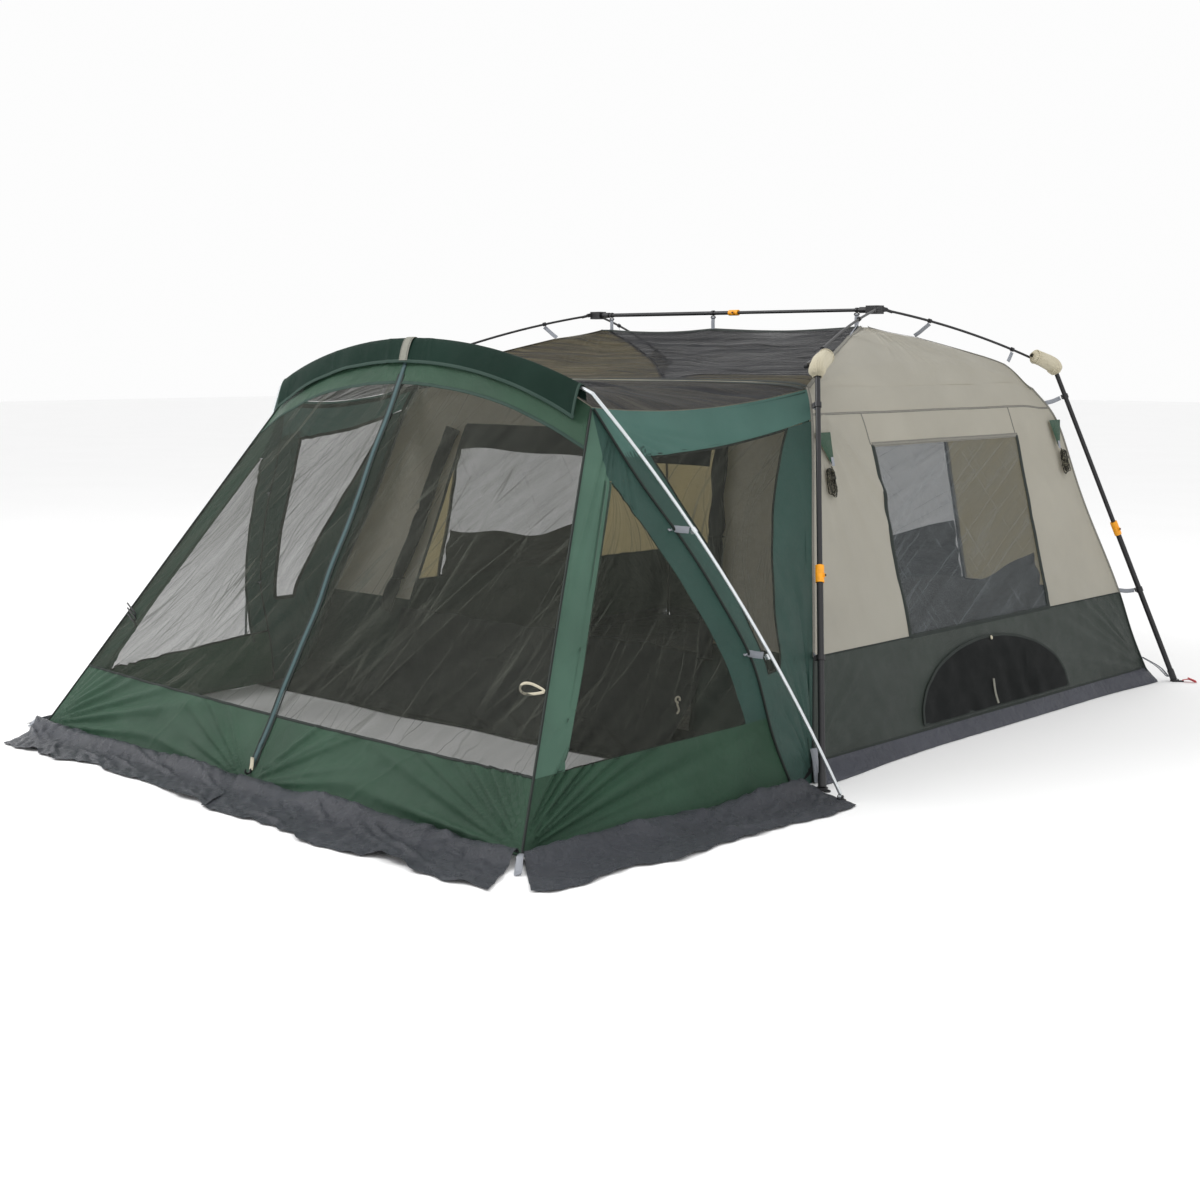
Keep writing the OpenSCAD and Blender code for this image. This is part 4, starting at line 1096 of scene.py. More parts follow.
def roof():
    hip = Surface(hip_base, hip_relief, 1)
    for name, side in SIDES.items():
        grid = field(hip, -1, 1, 0, 1, 130, 44)
        cloth(
            "roof_hip_" + name, [grid], "beige", side=side, stands_for=["roof_hips"] if side > 0 else []
        )
        for edge_name, u in (("front", -1), ("back", 1)):
            path = [(u * 0.992, t) for t in np.linspace(0, 1, 11)]
            tape_on("hip_%s_%s_binding" % (name, edge_name), hip, path, 0.020, "tape_grey", 0.003, 80, side)
    for name, back in (("front", -1), ("back", 1)):
        surface = Surface(roof_base(back), roof_relief(111 if back < 0 else 121), -back)
        grid = field(surface, -1, 1, 0, 1, 150, 66)
        cloth("roof_mesh_" + name, [grid], "roof", stands_for=["roof_mesh"] if back < 0 else [])
        path = [(w, 0.004) for w in np.linspace(-1, 1, 9)]
        tape_on("roof_eave_" + name, surface, path, 0.026, "tape_dark" if back < 0 else "tape_grey", 0.003, 120)
        if back < 0:
            path = [(w, 0.995) for w in np.linspace(-1, 1, 21)]
            tape_on("roof_ridge_tape", surface, path, 0.030, "tape_dark", 0.003, 160)


roof()

# ---------- screen room ----------


def arch_y(z):
    return -ARCH_Y - z * math.tan(ARCH_LEAN)


ARCH_SEAM = spline(ARCH_SIDE)(np.linspace(0, 1, 200))
ARCH_CURVE = spline([(-x, z) for x, z in CLOTH_TOP] + [(x, z) for x, z in reversed(CLOTH_TOP[:-1])])
TOP_Z = CLOTH_TOP[0][1]
STRIP_W, BAND_W = 0.150, 0.135
SIDE_APEX_Z = 1.330


def fold_line(z):
    """The fold between the front and the side, from the front corner to the arch's shoulder."""
    t = z / TOP_Z
    return stack(lerp(FRONT_X, CLOTH_TOP[0][0], t), lerp(-FRONT_Y, arch_y(TOP_Z), t), z)


def arch_seam(z):
    return stack(np.interp(z, ARCH_SEAM[:, 1], ARCH_SEAM[:, 0]), arch_y(z), z)


def side_width(z):
    return np.linalg.norm(arch_seam(z) - fold_line(z), axis=-1)


def side_front_base(u, z):
    u = np.asarray(u)[..., None]
    return lerp(fold_line(z), arch_seam(z), u) + (0, 0, 0.004)


def side_front_relief(u, z):
    m = u * side_width(np.clip(z, 0, TOP_Z))
    low = smooth((0.75 - z) / 0.6)
    pulls = 0.030 * low * fan(m, z, (-0.03, 0.0), 3, 62, 8, 0.75, 131) - 0.010 * low * calm(2 * u - 1, 1.0, 2)
    pulls = pulls + 0.010 * fan(m, z, (0.14, 1.66), -100, -70, 6, 0.9, 132)
    mesh_folds = 0.004 * creases(m, z, 0.9, 16, ((-1.2, 1.2), (0, 1.8)), 133, 0.008, 0.5)
    return (pulls + mesh_folds + 0.003 * soft(m, z, 0.16, 134)) * calm(2 * u - 1, 1.0, 14) * smooth((TOP_Z - z) / 0.15)


def cabin_corner(z):
    return stack(end_half(z), -side_half(z) - 0.004, z)


def rear_z(e, t):
    """Height on the rear side panel, its top edge hanging a little between arch and cabin."""
    return t * (lerp(TOP_Z, SHOULDER_Z - 0.010, e) - 0.055 * 4 * e * (1 - e) * np.clip(t, 0, 1) ** 2)


def side_rear_base(e, t):
    clipped = np.clip(e, 0, 1)
    a, r = arch_seam(np.clip(t, 0, 1) * TOP_Z), cabin_corner(np.clip(t, 0, 1) * (SHOULDER_Z - 0.010))
    flat = lerp(a, r, np.asarray(e)[..., None])
    return stack(flat[..., 0], flat[..., 1], rear_z(clipped, t) + 0.001)


def side_rear_relief(e, t):
    m, z = e * 0.8, t * 1.7
    pulls = 0.010 * fan(m, z, (0.82, 1.76), 182, 262, 7, 0.8, 141) + 0.010 * fan(
        m, z, (0.82, 0.0), 100, 160, 6, 0.7, 142
    )
    pulls = pulls + 0.008 * fan(m, z, (0.0, 1.66), -80, -12, 6, 0.6, 143)
    return (pulls + 0.003 * soft(m, z, 0.15, 144)) * calm(2 * e - 1, 1.0, 14)


# The side window's corners, as shares across and up the rear panel: each pair is (low, high) or (left, right).
PANE_LEFT, PANE_RIGHT = (0.175, 0.144), (0.42, 0.867)
PANE_LOW, PANE_HIGH = 0.302, (0.877, 0.905)


def window_left_edge(t):
    return lerp(*PANE_LEFT, (t - 0.30) / 0.58)


def window_right_edge(t):
    return lerp(*PANE_RIGHT, (t - 0.305) / 0.59)


def rear_low(s):
    return PANE_LOW + 0 * s


def rear_high(s):
    return lerp(*PANE_HIGH, s)


def screen_side(name, side):
    front = Surface(side_front_base, side_front_relief, -1)
    rear = Surface(side_rear_base, side_rear_relief, -1)

    def strip_edge(z):
        return np.minimum(STRIP_W / side_width(z), 0.5)

    def band_edge(z):
        return np.maximum(1 - BAND_W / side_width(z), 0.5)

    def band_top(u):
        return lerp(0.250, 0.315, u)

    low = field(front, 0, 1, 0.0, band_top, 150, 30)
    cloth("screen_side_%s_band" % name, [low], "green", side=side, stands_for=["screen_side_" + name])

    def from_band(left, right):
        """Band top as a height at a share across a panel whose low corners sit at left and right."""
        return lambda s: lerp(band_top(left(0.26)), band_top(right(0.30)), s)

    zero, one = as_curve(0.0), as_curve(1.0)
    strip = field(front, 0, strip_edge, from_band(zero, strip_edge), SIDE_APEX_Z, 16, 110)
    upper = field(front, 0, 0.5, SIDE_APEX_Z, TOP_Z - 0.01, 16, 26)
    # The strip's finish is the green painted lighter: painted light on the fold strip.
    cloth("screen_side_%s_strip" % name, [strip, upper], "sage", side=side)
    net = field(front, strip_edge, band_edge, from_band(strip_edge, band_edge), SIDE_APEX_Z, 76, 100)
    cloth("screen_side_%s_mesh" % name, [net], "screen", side=side)
    curved = field(front, band_edge, 1, from_band(band_edge, one), SIDE_APEX_Z, 16, 110)
    upper = field(front, 0.5, 1, SIDE_APEX_Z, TOP_Z - 0.01, 16, 26)
    cloth("screen_side_%s_arch_band" % name, [curved, upper], "teal", side=side)
    heights = np.linspace(0.26, SIDE_APEX_Z, 12)
    seams = [
        ("strip_seam", [(float(strip_edge(np.array(z))) - 0.012, z) for z in heights], 0.030, "tape_sage"),
        ("fold_seam", [(0.016, z) for z in np.linspace(0.24, TOP_Z - 0.04, 10)], 0.018, "tape_sage"),
        ("arch_band_seam", [(float(band_edge(np.array(z))) + 0.008, z) for z in heights], 0.018, "tape_green"),
        ("band_seam", [(u, float(band_top(u))) for u in np.linspace(0, 1, 9)], 0.012, "tape_dark"),
    ]
    for part, path, width, finish in seams:
        tape_on("screen_side_%s_%s" % (name, part), front, path, width, finish, 0.002, 140, side)

    panels = [
        field(rear, 0, window_left_edge, PANE_LOW, rear_high, 12, 80),
        field(rear, window_right_edge, 1, PANE_LOW, PANE_HIGH[1], 40, 80),
        field(rear, 0, 1, 0.0, rear_low, 70, 36),
    ]
    eave = field(rear, 0, 1, lambda s: np.clip(lerp(*PANE_HIGH, (s - PANE_LEFT[1]) / 0.723), 0.872, 0.91), 1, 90, 16)
    # The eave panel's finish is the teal painted lighter: painted light on this panel.
    cloth("screen_side_%s_eave_panel" % name, [eave], "eave", side=side)
    cloth("screen_side_%s_rear" % name, panels, "teal", side=side)
    pane = field(rear, window_left_edge, window_right_edge, PANE_LOW, rear_high, 44, 64, -0.002)
    for part, path in (
        ("near", [(float(window_left_edge(t)), t) for t in (PANE_LOW, 0.5, 0.7, PANE_HIGH[0])]),
        ("far", [(float(window_right_edge(t)), t) for t in (PANE_LOW, 0.5, 0.7, PANE_HIGH[1])]),
        ("top", [(PANE_LEFT[1], PANE_HIGH[0]), (0.5, 0.891), (PANE_RIGHT[1], PANE_HIGH[1])]),
        ("low", [(PANE_LEFT[0], PANE_LOW), (0.30, PANE_LOW), (PANE_RIGHT[0], PANE_LOW)]),
    ):
        tape_on("screen_window_%s_%s" % (name, part), rear, path, 0.022, "tape_dark", 0.002, 90, side)
    cloth("screen_window_" + name, [pane], "screen", side=side)
    tape_on(
        "screen_side_%s_eave" % name, rear, [(e, 0.985) for e in np.linspace(0.01, 0.99, 9)], 0.026, "tape_green",
        0.002, 120, side,
    )
    tape_on(
        "screen_side_%s_corner" % name, rear, [(0.97, t) for t in np.linspace(0.02, 0.98, 9)], 0.040, "tape_green",
        0.002, 140, side,
    )
    z = np.linspace(0.01, TOP_Z - 0.01, 90)
    welt = swept(
        "screen_side_%s_welt" % name, arch_seam(z) + (
            0.003, 0, 0.004
        ), "tape_dark", circle(0.006, 8), up=(0, 1, 0), side=side
    )
    fix(welt)
    fold = swept(
        "screen_fold_%s_welt" % name, fold_line(z) + (
            0.001, -0.003, 0.004
        ), "tape_dark", circle(0.0055, 8), up=(1, 0, 0), side=side
    )
    fix(fold)


for name, side in SIDES.items():
    screen_side(name, side)


def front_base(f, t):
    top = ARCH_CURVE((np.clip(f, -1, 1) + 1) / 2)
    x, z = top[..., 0] + (f - np.clip(f, -1, 1)), top[..., 1]
    top = stack(x, arch_y(z), z)
    ground = stack(FRONT_X * f, -FRONT_Y + 0 * f, 0 * f)
    return lerp(ground, top, np.asarray(t)[..., None]) + (0, -0.003, 0.004)


def front_relief(f, t):
    x, h = FRONT_X * f * (1 - 0.37 * t), 2.1 * t
    low = smooth((0.85 - h) / 0.7)
    pulls = 0.036 * low * (fan(x, h, (1.75, 0.0), 112, 177, 9, 1.0, 151) + fan(x, h, (-1.75, 0.0), 3, 68, 9, 1.0, 152))
    pulls = pulls + 0.016 * low * (
        fan(x, h, (0.0, -0.02), 4, 50, 5, 0.8, 153) + fan(x, h, (0.0, -0.02), 130, 176, 5, 0.8, 154)
    )
    pulls = pulls + 0.006 * fan(x, h, (0.0, 2.12), -165, -15, 12, 0.5, 155)
    mesh_folds = 0.004 * creases(x, h, 0.95, 26, ((-1.8, 1.8), (-0.5, 2.2)), 156, 0.008, 0.6)
    mesh_folds = mesh_folds + 0.003 * creases(x, h, 2.2, 12, ((-1.8, 1.8), (-0.5, 2.2)), 157, 0.008, 0.5)
    sag = -0.020 * (1 - f**2) * np.sin(math.pi * np.clip(t, 0, 1))
    return (pulls + mesh_folds + sag + 0.003 * soft(x, h, 0.18, 158)) * calm(f, 1.0, 14) * smooth((1 - t) / 0.06)


def screen_front():
    front = Surface(front_base, front_relief, 1)

    def top_z(s):
        return ARCH_CURVE(s)[..., 1]

    def band(s):
        return lerp(0.295, 0.255, s) / top_z(s)

    def arc(s):
        return 1 - 0.170 / top_z(s)

    low = field(front, -1, 1, 0, band, 230, 26)
    cloth("screen_front_band", [low], "green", stands_for=["screen_front"])
    net = field(front, -1, 1, band, arc, 200, 100)
    cloth("screen_front_mesh", [net], "screen")
    high = field(front, -1, 1, arc, 1, 160, 16)
    cloth("screen_front_top", [high], "green")
    shares = np.linspace(0, 1, 17)
    for part, curve, width, finish in (("band_seam", band, 0.012, "tape_dark"), ("arc_seam", arc, 0.016, "tape_green")):
        path = [(2 * s - 1, float(curve(np.array(s)))) for s in shares]
        tape_on("screen_front_" + part, front, path, width, finish, 0.002, 200)
    tape_on("screen_front_strip", front, [(0, t) for t in np.linspace(0.03, 0.985, 14)], 0.026, "tape_teal", 0.006, 200)
    for k, f in (("left", -0.011), ("right", 0.011)):
        path = [(f * (1 + 0.3 * t), t) for t in np.linspace(0.03, 0.93, 14)]
        tape_on("screen_front_zip_" + k, front, path, 0.010, "tape_dark", 0.004, 200)
    hook(front)
    loop = front.at(1.0, 0.335, 0.010) + (-0.006, 0, 0)
    turns = np.linspace(0, 2 * math.pi, 32, endpoint=False)
    ring = loop + stack(
        -0.068 * (1 - np.cos(turns)), 0.010 * np.sin(turns), 0.011 * np.sin(turns) * (1.6 - np.cos(turns)) - 0.006
    )
    tie = swept("door_loop_right", ring, "strap_cream", strap_outline(0.012, 0.002), up=(0, 1, 0), closed=True)
    fix(tie)
    for k, rise in enumerate((0.0, 0.030, 0.055)):
        start = front.at(-0.985, 0.335, 0.008) + (0, 0, rise)
        path = [start, start + (0.045, -0.014, -0.012), start + (0.085, -0.008, -0.045), start + (0.060, 0, -0.060)]
        toggle = swept("door_toggle_%d" % k, smooth_path(path, 16), "plastic", circle(0.0042, 8), up=(0, 1, 0))
        fix(toggle)
    s_hook()


def s_hook():
    """A small hook hanging on the right side mesh."""
    at = Surface(side_front_base, side_front_relief, -1).at(0.60, 0.44, 0.012)
    along = unit(arch_seam(np.array(0.44)) - fold_line(np.array(0.44)))
    turns = np.linspace(-0.6, 1.5 * math.pi, 26)
    upper = at + np.outer(0.011 * np.cos(turns), along) + stack(0 * turns, 0 * turns, 0.011 * np.sin(turns) + 0.014)
    lower = [at + (0, -0.002, -0.008), at + along * 0.007 + (0, 0, -0.030), at - along * 0.003 + (0, 0, -0.046)]
    piece = swept(
        "side_hook", smooth_path(np.concatenate([upper, lower]), 60), "strap_cream", circle(0.0040, 8), up=(1, 0, 0.2)
    )
    fix(piece)


def hook(front):
    """The hooked buckle at the foot of the front strip."""
    foot = front.at(0, 0.035, 0.010)
    strap_path = [foot + (0, 0.004, 0.03), foot, foot + (0, -0.006, -0.025)]
    strap = swept(
        "front_hook_strap", smooth_path(strap_path, 10), "strap_cream", strap_outline(0.026, 0.003), up=(0, -1, 0.3)
    )
    fix(strap)
    bend = foot + np.array(
        [(0, -0.006, -0.020), (0, -0.012, -0.034), (0, -0.026, -0.040), (0, -0.036, -0.030), (0, -0.034, -0.018)]
    )
    tip = swept("front_hook", smooth_path(bend, 18), "plastic", circle(0.0045, 10), up=(1, 0, 0))
    fix(tip)


screen_front()


def screen_roof():
    """The mesh roof, slung from the arch back to the cabin's shoulder."""

    def base(w, t):
        clipped = np.clip(t, 0, 1)
        arch = ARCH_CURVE((np.clip(w, -1, 1) + 1) / 2)
        start = stack(arch[..., 0], arch_y(arch[..., 1]) + 0.006, arch[..., 1] + 0.004)
        end = stack((SHOULDER_X - pull_in(1.73)) * w, -SHOULDER_Y - 0.012 + 0 * w, SHOULDER_Z - 0.006 + 0 * w)
        flat = lerp(start, end, np.asarray(t)[..., None])
        return flat - stack(0 * w, 0 * w, (0.055 + 0.02 * (1 - w**2)) * 4 * clipped * (1 - clipped))

    def relief(w, t):
        x, y = w * 1.2, t * 1.2
        pleats = 0.009 * creases(x, y, 0.05, 20, ((0.0, 1.2), (-1.2, 1.2)), 171, 0.025, 0.6)
        pleats = pleats + 0.006 * creases(x, y, 0.5, 12, ((-0.6, 1.4), (-1.2, 1.2)), 172, 0.020, 0.4)
        return (pleats + 0.006 * soft(x, y, 0.22, 173)) * calm(w, 1.0, 8) * calm(2 * t - 1, 1.0, 10)

    surface = Surface(base, relief, 1)
    net = field(surface, -1, 1, 0, 1, 140, 60)
    cloth(
        "screen_roof_mesh", [net], "roof",
        stands_for=["screen_roof"],
    )
    tape_on("screen_roof_eave", surface, [(w, 0.99) for w in np.linspace(-1, 1, 9)], 0.030, "tape_dark", 0.003, 120)


screen_roof()

# ---------- hood over the arch, which moves with it ----------


def arch_pole_z(x):
    radius = (ARCH_HALF**2 + (ARCH_TOP - ARCH_SHOULDER) ** 2) / (2 * (ARCH_TOP - ARCH_SHOULDER))
    return (ARCH_TOP - radius + np.sqrt(radius**2 - np.asarray(x, float) ** 2)) * math.cos(ARCH_LEAN)


HOOD_HALF = 1.052
HOOD_SECTION = [
    (0.020, -0.052), (0.0165, -0.020), (0.0145, 0.004), (0.008, 0.0145), (-0.001, 0.0175), (-0.0115, 0.0135),
    (-0.024, 0.000), (-0.038, -0.028), (-0.050, -0.062), (-0.060, -0.098)
]


def hood():
    section = spline(HOOD_SECTION)

    def base(f, t):
        x = f * HOOD_HALF
        z = arch_pole_z(np.clip(x, -1.06, 1.06))
        offset = section(np.clip(t, 0, 1))
        deep = 1 + 0.35 * np.abs(f) ** 3 * (np.clip(t, 0, 1) > 0.5)
        past = t - np.clip(t, 0, 1)
        return stack(x, arch_y(z) + offset[..., 0] - 0.05 * past, z + offset[..., 1] * deep - 0.08 * past)

    def relief(f, t):
        x, h = f * HOOD_HALF, 0.16 * t
        pulls = 0.004 * creases(x, h, 1.2, 26, ((-1.1, 1.1), (0, 0.2)), 181, 0.012, 0.12)
        free = smooth((t - 0.55) / 0.45)
        return (np.abs(pulls) + 0.004 * free * soft(x, h, 0.12, 182)) * smooth((t - 0.3) / 0.3)

    surface = Surface(base, relief, -1)
    grid = field(surface, -1, 1, 0, 1, 190, 34)
    tab_path = [(0.006 * t, t) for t in np.linspace(0.12, 0.97, 9)]
    tab = tape_on("hood_tab", surface, tab_path, 0.058, "tape_tab", 0.0035, 60, body="arch")
    for part, path, width, count in (
        ("low", [(f, 0.975) for f in np.linspace(-1, 1, 15)], 0.016, 200),
        ("right", [(0.992, t) for t in np.linspace(0.02, 0.98, 7)], 0.014, 60),
        ("left", [(-0.992, t) for t in np.linspace(0.02, 0.98, 7)], 0.014, 60),
    ):
        tape_on("hood_hem_" + part, surface, path, width, "tape_green", 0.0014, count, body="arch")
    cloth(
        "arch_hood_cloth", [grid], "hood", body="arch",
        stands_for=["arch_hood"],
    )


hood()

# ---------- ground: the sewn floor and the skirt ----------


def groundsheet():
    """The sewn-in floor, its rim turned up inside the walls."""
    y = np.linspace(-1, 1, 90)[:, None] * (BASE_Y + 0.001)
    edge = np.abs(SIDE_WALL.at(y[:, 0], np.full(90, 0.010), 0.0)[:, 0])[:, None]
    x = np.linspace(-1, 1, 100)[None] * (edge - 0.004)
    y = y + 0 * x
    inside = calm(x / edge, 1.0, 40) * calm(y, BASE_Y, 40)
    wrinkles = 0.004 * np.abs(creases(x, y, 0.4, 22, ((-1.8, 1.8), (-1.8, 1.8)), 192, 0.02, 0.5))
    z = 0.003 + inside * (0.004 + 0.003 * soft(x, y, 0.3, 191) + wrinkles) + 0.012 * (1 - inside)
    cloth(
        "floor_sheet", [stack(x, y, np.maximum(z, 0.002))], "edge", stands_for=["floor"]
    )


def skirt_strip(inner, outer, seed, gather=0.0, rise=0.055):
    """A strip of ground skirt between two curves, crumpled, rolled up a little near the wall and wavy outside."""
    length = float(np.linalg.norm(np.diff(spline(inner)(np.linspace(0, 1, 30)), axis=0), axis=1).sum())
    s, t = np.meshgrid(np.linspace(0, 1, int(length / 0.011)), np.linspace(0, 1, 38))
    a, b = spline(inner)(s), spline(outer)(s)
    m, n = s * length, t * 0.37
    wavy = 0.020 * soft(m, 0 * m, 0.30, seed) + 0.014 * soft(m, 0 * m, 0.09, seed + 1)
    wavy = wavy * np.sin(math.pi * np.clip(s * 12, 0, 0.5)) * np.sin(math.pi * np.clip((1 - s) * 12, 0, 0.5))
    reach = t * (1 + wavy / 0.37 * t)
    flat = lerp(a, b, reach[..., None])
    roll = rise * bell(t, 0.17, 0.15) * (0.75 + 0.25 * soft(m, 0 * m, 0.4, seed + 2))
    crumple = 0.006 * np.abs(soft(m, n, 0.07, seed + 3)) + 0.014 * np.abs(
        creases(m, n, 0.35, 34, ((-0.5, 0.6), (0, length)), seed + 4, 0.014, 0.16)
    )
    crumple = crumple + 0.007 * np.abs(
        creases(m, n, 1.3, int(20 * length), ((-length, 0.4), (0, length)), seed + 5, 0.010, 0.14)
    )
    lifted = 0.030 * smooth((t - 0.8) / 0.2) * np.maximum(soft(m, 0 * m, 0.22, seed + 6) - 0.55, 0)
    crumple = crumple * (1 + 1.4 * gather * smooth((s - 0.82) / 0.18))
    z = 0.004 + (roll + crumple + lifted) * (1 - 0.75 * gather * smooth((s - 0.9) / 0.1)) * smooth(t / 0.06) + 0.010 * (
        1 - smooth(t / 0.1)
    )
    return stack(flat[..., 0], flat[..., 1], z)


def skirt():
    inner_y, outer_y = -FRONT_Y - 0.004, -FRONT_Y - SKIRT_W
    strips = {
        "front_right": (
            [(0.004, inner_y), (0.6, inner_y), (1.2, inner_y), (FRONT_X - 0.005, inner_y)],
            [(0.205, outer_y), (0.75, outer_y - 0.012), (1.3, outer_y - 0.008), (1.934, outer_y + 0.006)], 201, 1,
        ),
        "front_left": (
            [(-FRONT_X + 0.005, inner_y), (-1.2, inner_y), (-0.6, inner_y), (-0.004, inner_y)],
            [
                (-1.482, outer_y + 0.022), (-1.1, outer_y + 0.040), (-0.45, outer_y + 0.045), (0.225, outer_y + 0.010)
            ], 211, 1,
        ),
    }
    for name, side in SIDES.items():
        outer = [(2.050, -3.612), (2.165, -3.05)] if side > 0 else [(1.800, -3.400), (1.940, -2.980)]
        strips["side_" + name] = (
            [(FRONT_X + 0.006, -FRONT_Y), (1.768, -2.85), (1.812, -2.35), (1.852, -1.93), (1.848, -1.735)],
            outer + [(2.190, -2.45), (2.206, -1.850)], 221, side,
        )
    for name, (inner, outer, seed, side) in strips.items():
        grid = skirt_strip(inner, outer, seed, 1.0 if name.startswith("side") else 0.0)
        cloth(
            "skirt_" + name, [grid], "charcoal", side=side,
            stands_for=["skirt"] if name == "front_right" else [],
        )


groundsheet()
skirt()

# ---------- straps, clips and covers ----------


def sewn_strap(name, path, width, finish="strap", up=(0, 0, 1), body="root", side=1, thick=0.0018):
    piece = swept(name, smooth_path(path, 22), finish, strap_outline(width, thick), up=up, side=side)
    return fix(piece, body)


def mirrored(point, spot):
    sx, sy = CORNERS[spot]
    return np.asarray(point, float) * (sx, sy, 1)


def pole_point(share):
    """A point on the back right roof pole, which bows upwards."""
    along = unit(POLE_END - PIVOT)
    side = unit(np.cross(along, (0, 0, 1)))
    up = np.cross(side, along)
    return lerp(PIVOT, POLE_END, share) + up * POLE_BOW * (1 - (2 * share - 1) ** 2)


def hang_straps():
    """Straps that hang the roof cloth from the roof poles."""
    for spot in CORNERS:
        for k, (share, t) in enumerate(((0.26, 0.745), (0.78, 0.215))):
            top = pole_point(share)
            x, y, z = (float(c) for c in hip_edge(np.array(t)))
            low = np.array([x, y, z + 0.004])
            along = unit(POLE_END - PIVOT)
            under = top - (0, 0, 0.016)
            out = unit(np.cross(along, (0, 0, 1)))
            path = [
                mirrored(p, spot) for p in (under, lerp(under, low, 0.35), lerp(under, low, 0.7), low + (0, 0, 0.003))
            ]
            sewn_strap("hang_strap_%s_%d" % (spot, k), path, 0.024, up=mirrored(out, spot))


def ridge_hangers():
    """Hooks over the ridge tube with the straps that carry the roof's ridge."""
    lo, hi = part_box("ridge_tube_outer")
    outer_r = (hi.z - lo.z) / 2
    lo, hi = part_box("ridge_tube_inner")
    inner_r = (hi.z - lo.z) / 2
    pieces = []
    for k, x in enumerate(RIDGE_HELD_X):
        radius = (outer_r if x < 0.05 else inner_r) + 0.0025
        turns = np.linspace(math.radians(-60), math.radians(240), 22)
        hook_path = stack(x + 0 * turns, radius * np.cos(turns), RIDGE_Z + radius * np.sin(turns))
        piece = swept("ridge_hook_%d" % k, hook_path, "plastic", strap_outline(0.018, 0.004), up=(0, 0, 1))
        pieces.append(fix(piece, stands_for=["ridge_clips"] if k == 0 else []))
        buckle_z = RIDGE_Z - radius - 0.010
        ring = stack(
            x + 0.016 * np.cos(np.linspace(0, 2 * math.pi, 24, endpoint=False)), np.zeros(24),
            buckle_z + 0.007 * np.sin(np.linspace(0, 2 * math.pi, 24, endpoint=False)),
        )
        fix(
            swept("ridge_buckle_%d" % k, ring, "plastic", circle(0.0028, 8), up=(0, 1, 0), closed=True)
        )
        path = [(x, 0, buckle_z + 0.002), (x, -0.002, lerp(buckle_z, PEAK_Z, 0.5)), (x, 0, PEAK_Z - 0.006)]
        sewn_strap("ridge_strap_%d" % k, path, 0.026, up=(0, 1, 0))


def leg_straps():
    """Straps from the clips on the legs to the cabin's corner seams."""
    leg = unit(FOOT - ELBOW)
    for spot in CORNERS:
        for k, (s, z) in enumerate(((0.206, 1.612), (1.407, GREEN_TOP_Z))):
            at = ELBOW + leg * s
            inward = unit(np.array([end_half(z), side_half(z), z]) - at)
            start = at + inward * 0.028
            end = np.array([float(end_half(z)) - 0.004, float(side_half(z)) - 0.004, at[2] - 0.006])
            if CORNERS[spot][1] > 0:
                end = ease_corner(end)
            path = [
                mirrored(p, spot) for p in (
                    start, lerp(start, end, 0.5) - (0, 0, 0.004), end, end - (0.020, 0.020, 0.008)
                )
            ]
            sewn_strap("leg_strap_%s_%d" % (spot, k), path, 0.024, up=mirrored(unit(np.cross(inward, (0, 0, 1))), spot))


def foot_straps():
    """A loop of webbing from each corner of the floor down to the foot of its leg."""
    for spot in CORNERS:
        start = np.array([float(end_half(0.14)) + 0.006, float(side_half(0.14)) + 0.010, 0.140])
        end = FOOT + (-0.030, -0.012, 0.024)
        for k, bulge in enumerate((0.016, 0.002)):
            middle = lerp(start, end, 0.5) + (bulge, bulge, 0.004 * k)
            path = [start - (0, 0.012 * k, 0), middle, end - (0.008 * k, 0.006 * k, 0)]
            sewn_strap(
                "foot_strap_%s_%d" % (spot, k), [mirrored(p, spot) for p in path], 0.026,
                up=mirrored((0.6, 0.75, 0.3), spot),
            )


def arch_straps():
    """Grey straps from the arch pole's clips to the arch seam."""
    for name, side in SIDES.items():
        for k, (x, v) in enumerate(((1.543, 1.170), (1.837, 0.628))):
            z = v * math.cos(ARCH_LEAN)
            clip = np.array([x - 0.028, arch_y(z), z])
            seam = arch_seam(np.array(z)) + (0.002, 0, 0)
            path = [
                clip, lerp(clip, seam, 0.5) + (0, -0.004, 0), seam, seam + unit(fold_line(np.array(z)) - seam) * 0.03
            ]
            sewn_strap("arch_strap_%s_%d" % (name, k), path, 0.030, up=(0, -1, 0.3), side=side)


def rope_tabs():
    """Stiffened triangles that the guy ropes hang from."""
    slope = math.hypot(1, LEAN_X)
    for spot in CORNERS:
        sx, sy = CORNERS[spot]
        tip_up = (HANK_TOP + 0.012) * slope
        s, t = np.meshgrid(np.linspace(-1, 1, 12), np.linspace(0, 1, 22))
        middle = lerp(SHOULDER_Y - 0.010, SHOULDER_Y + 0.012, t)
        along = middle + s * lerp(0.011, 0.062, t)
        up = tip_up + 0.150 * t
        off = 0.0165 - 0.0095 * t + 0.004 * np.sin(math.pi * t) * (1 - s**2)
        grid = on_side_slope(along, up, off) * (1, sy, 1)
        name = "rope_tab_" + spot
        cloth(name, [grid], "green", side=sx)
        path = [on_side_slope(SHOULDER_Y - 0.010, tip_up + d, 0.019) * (sx, sy, 1) for d in (0.030, 0.010, -0.012)]
        normal = (on_side_slope(0, 0, 1.0) - on_side_slope(0, 0, 0.0)) * (sx, 1, 1)
        sewn_strap("rope_tab_end_" + spot, path, 0.022, up=normal)


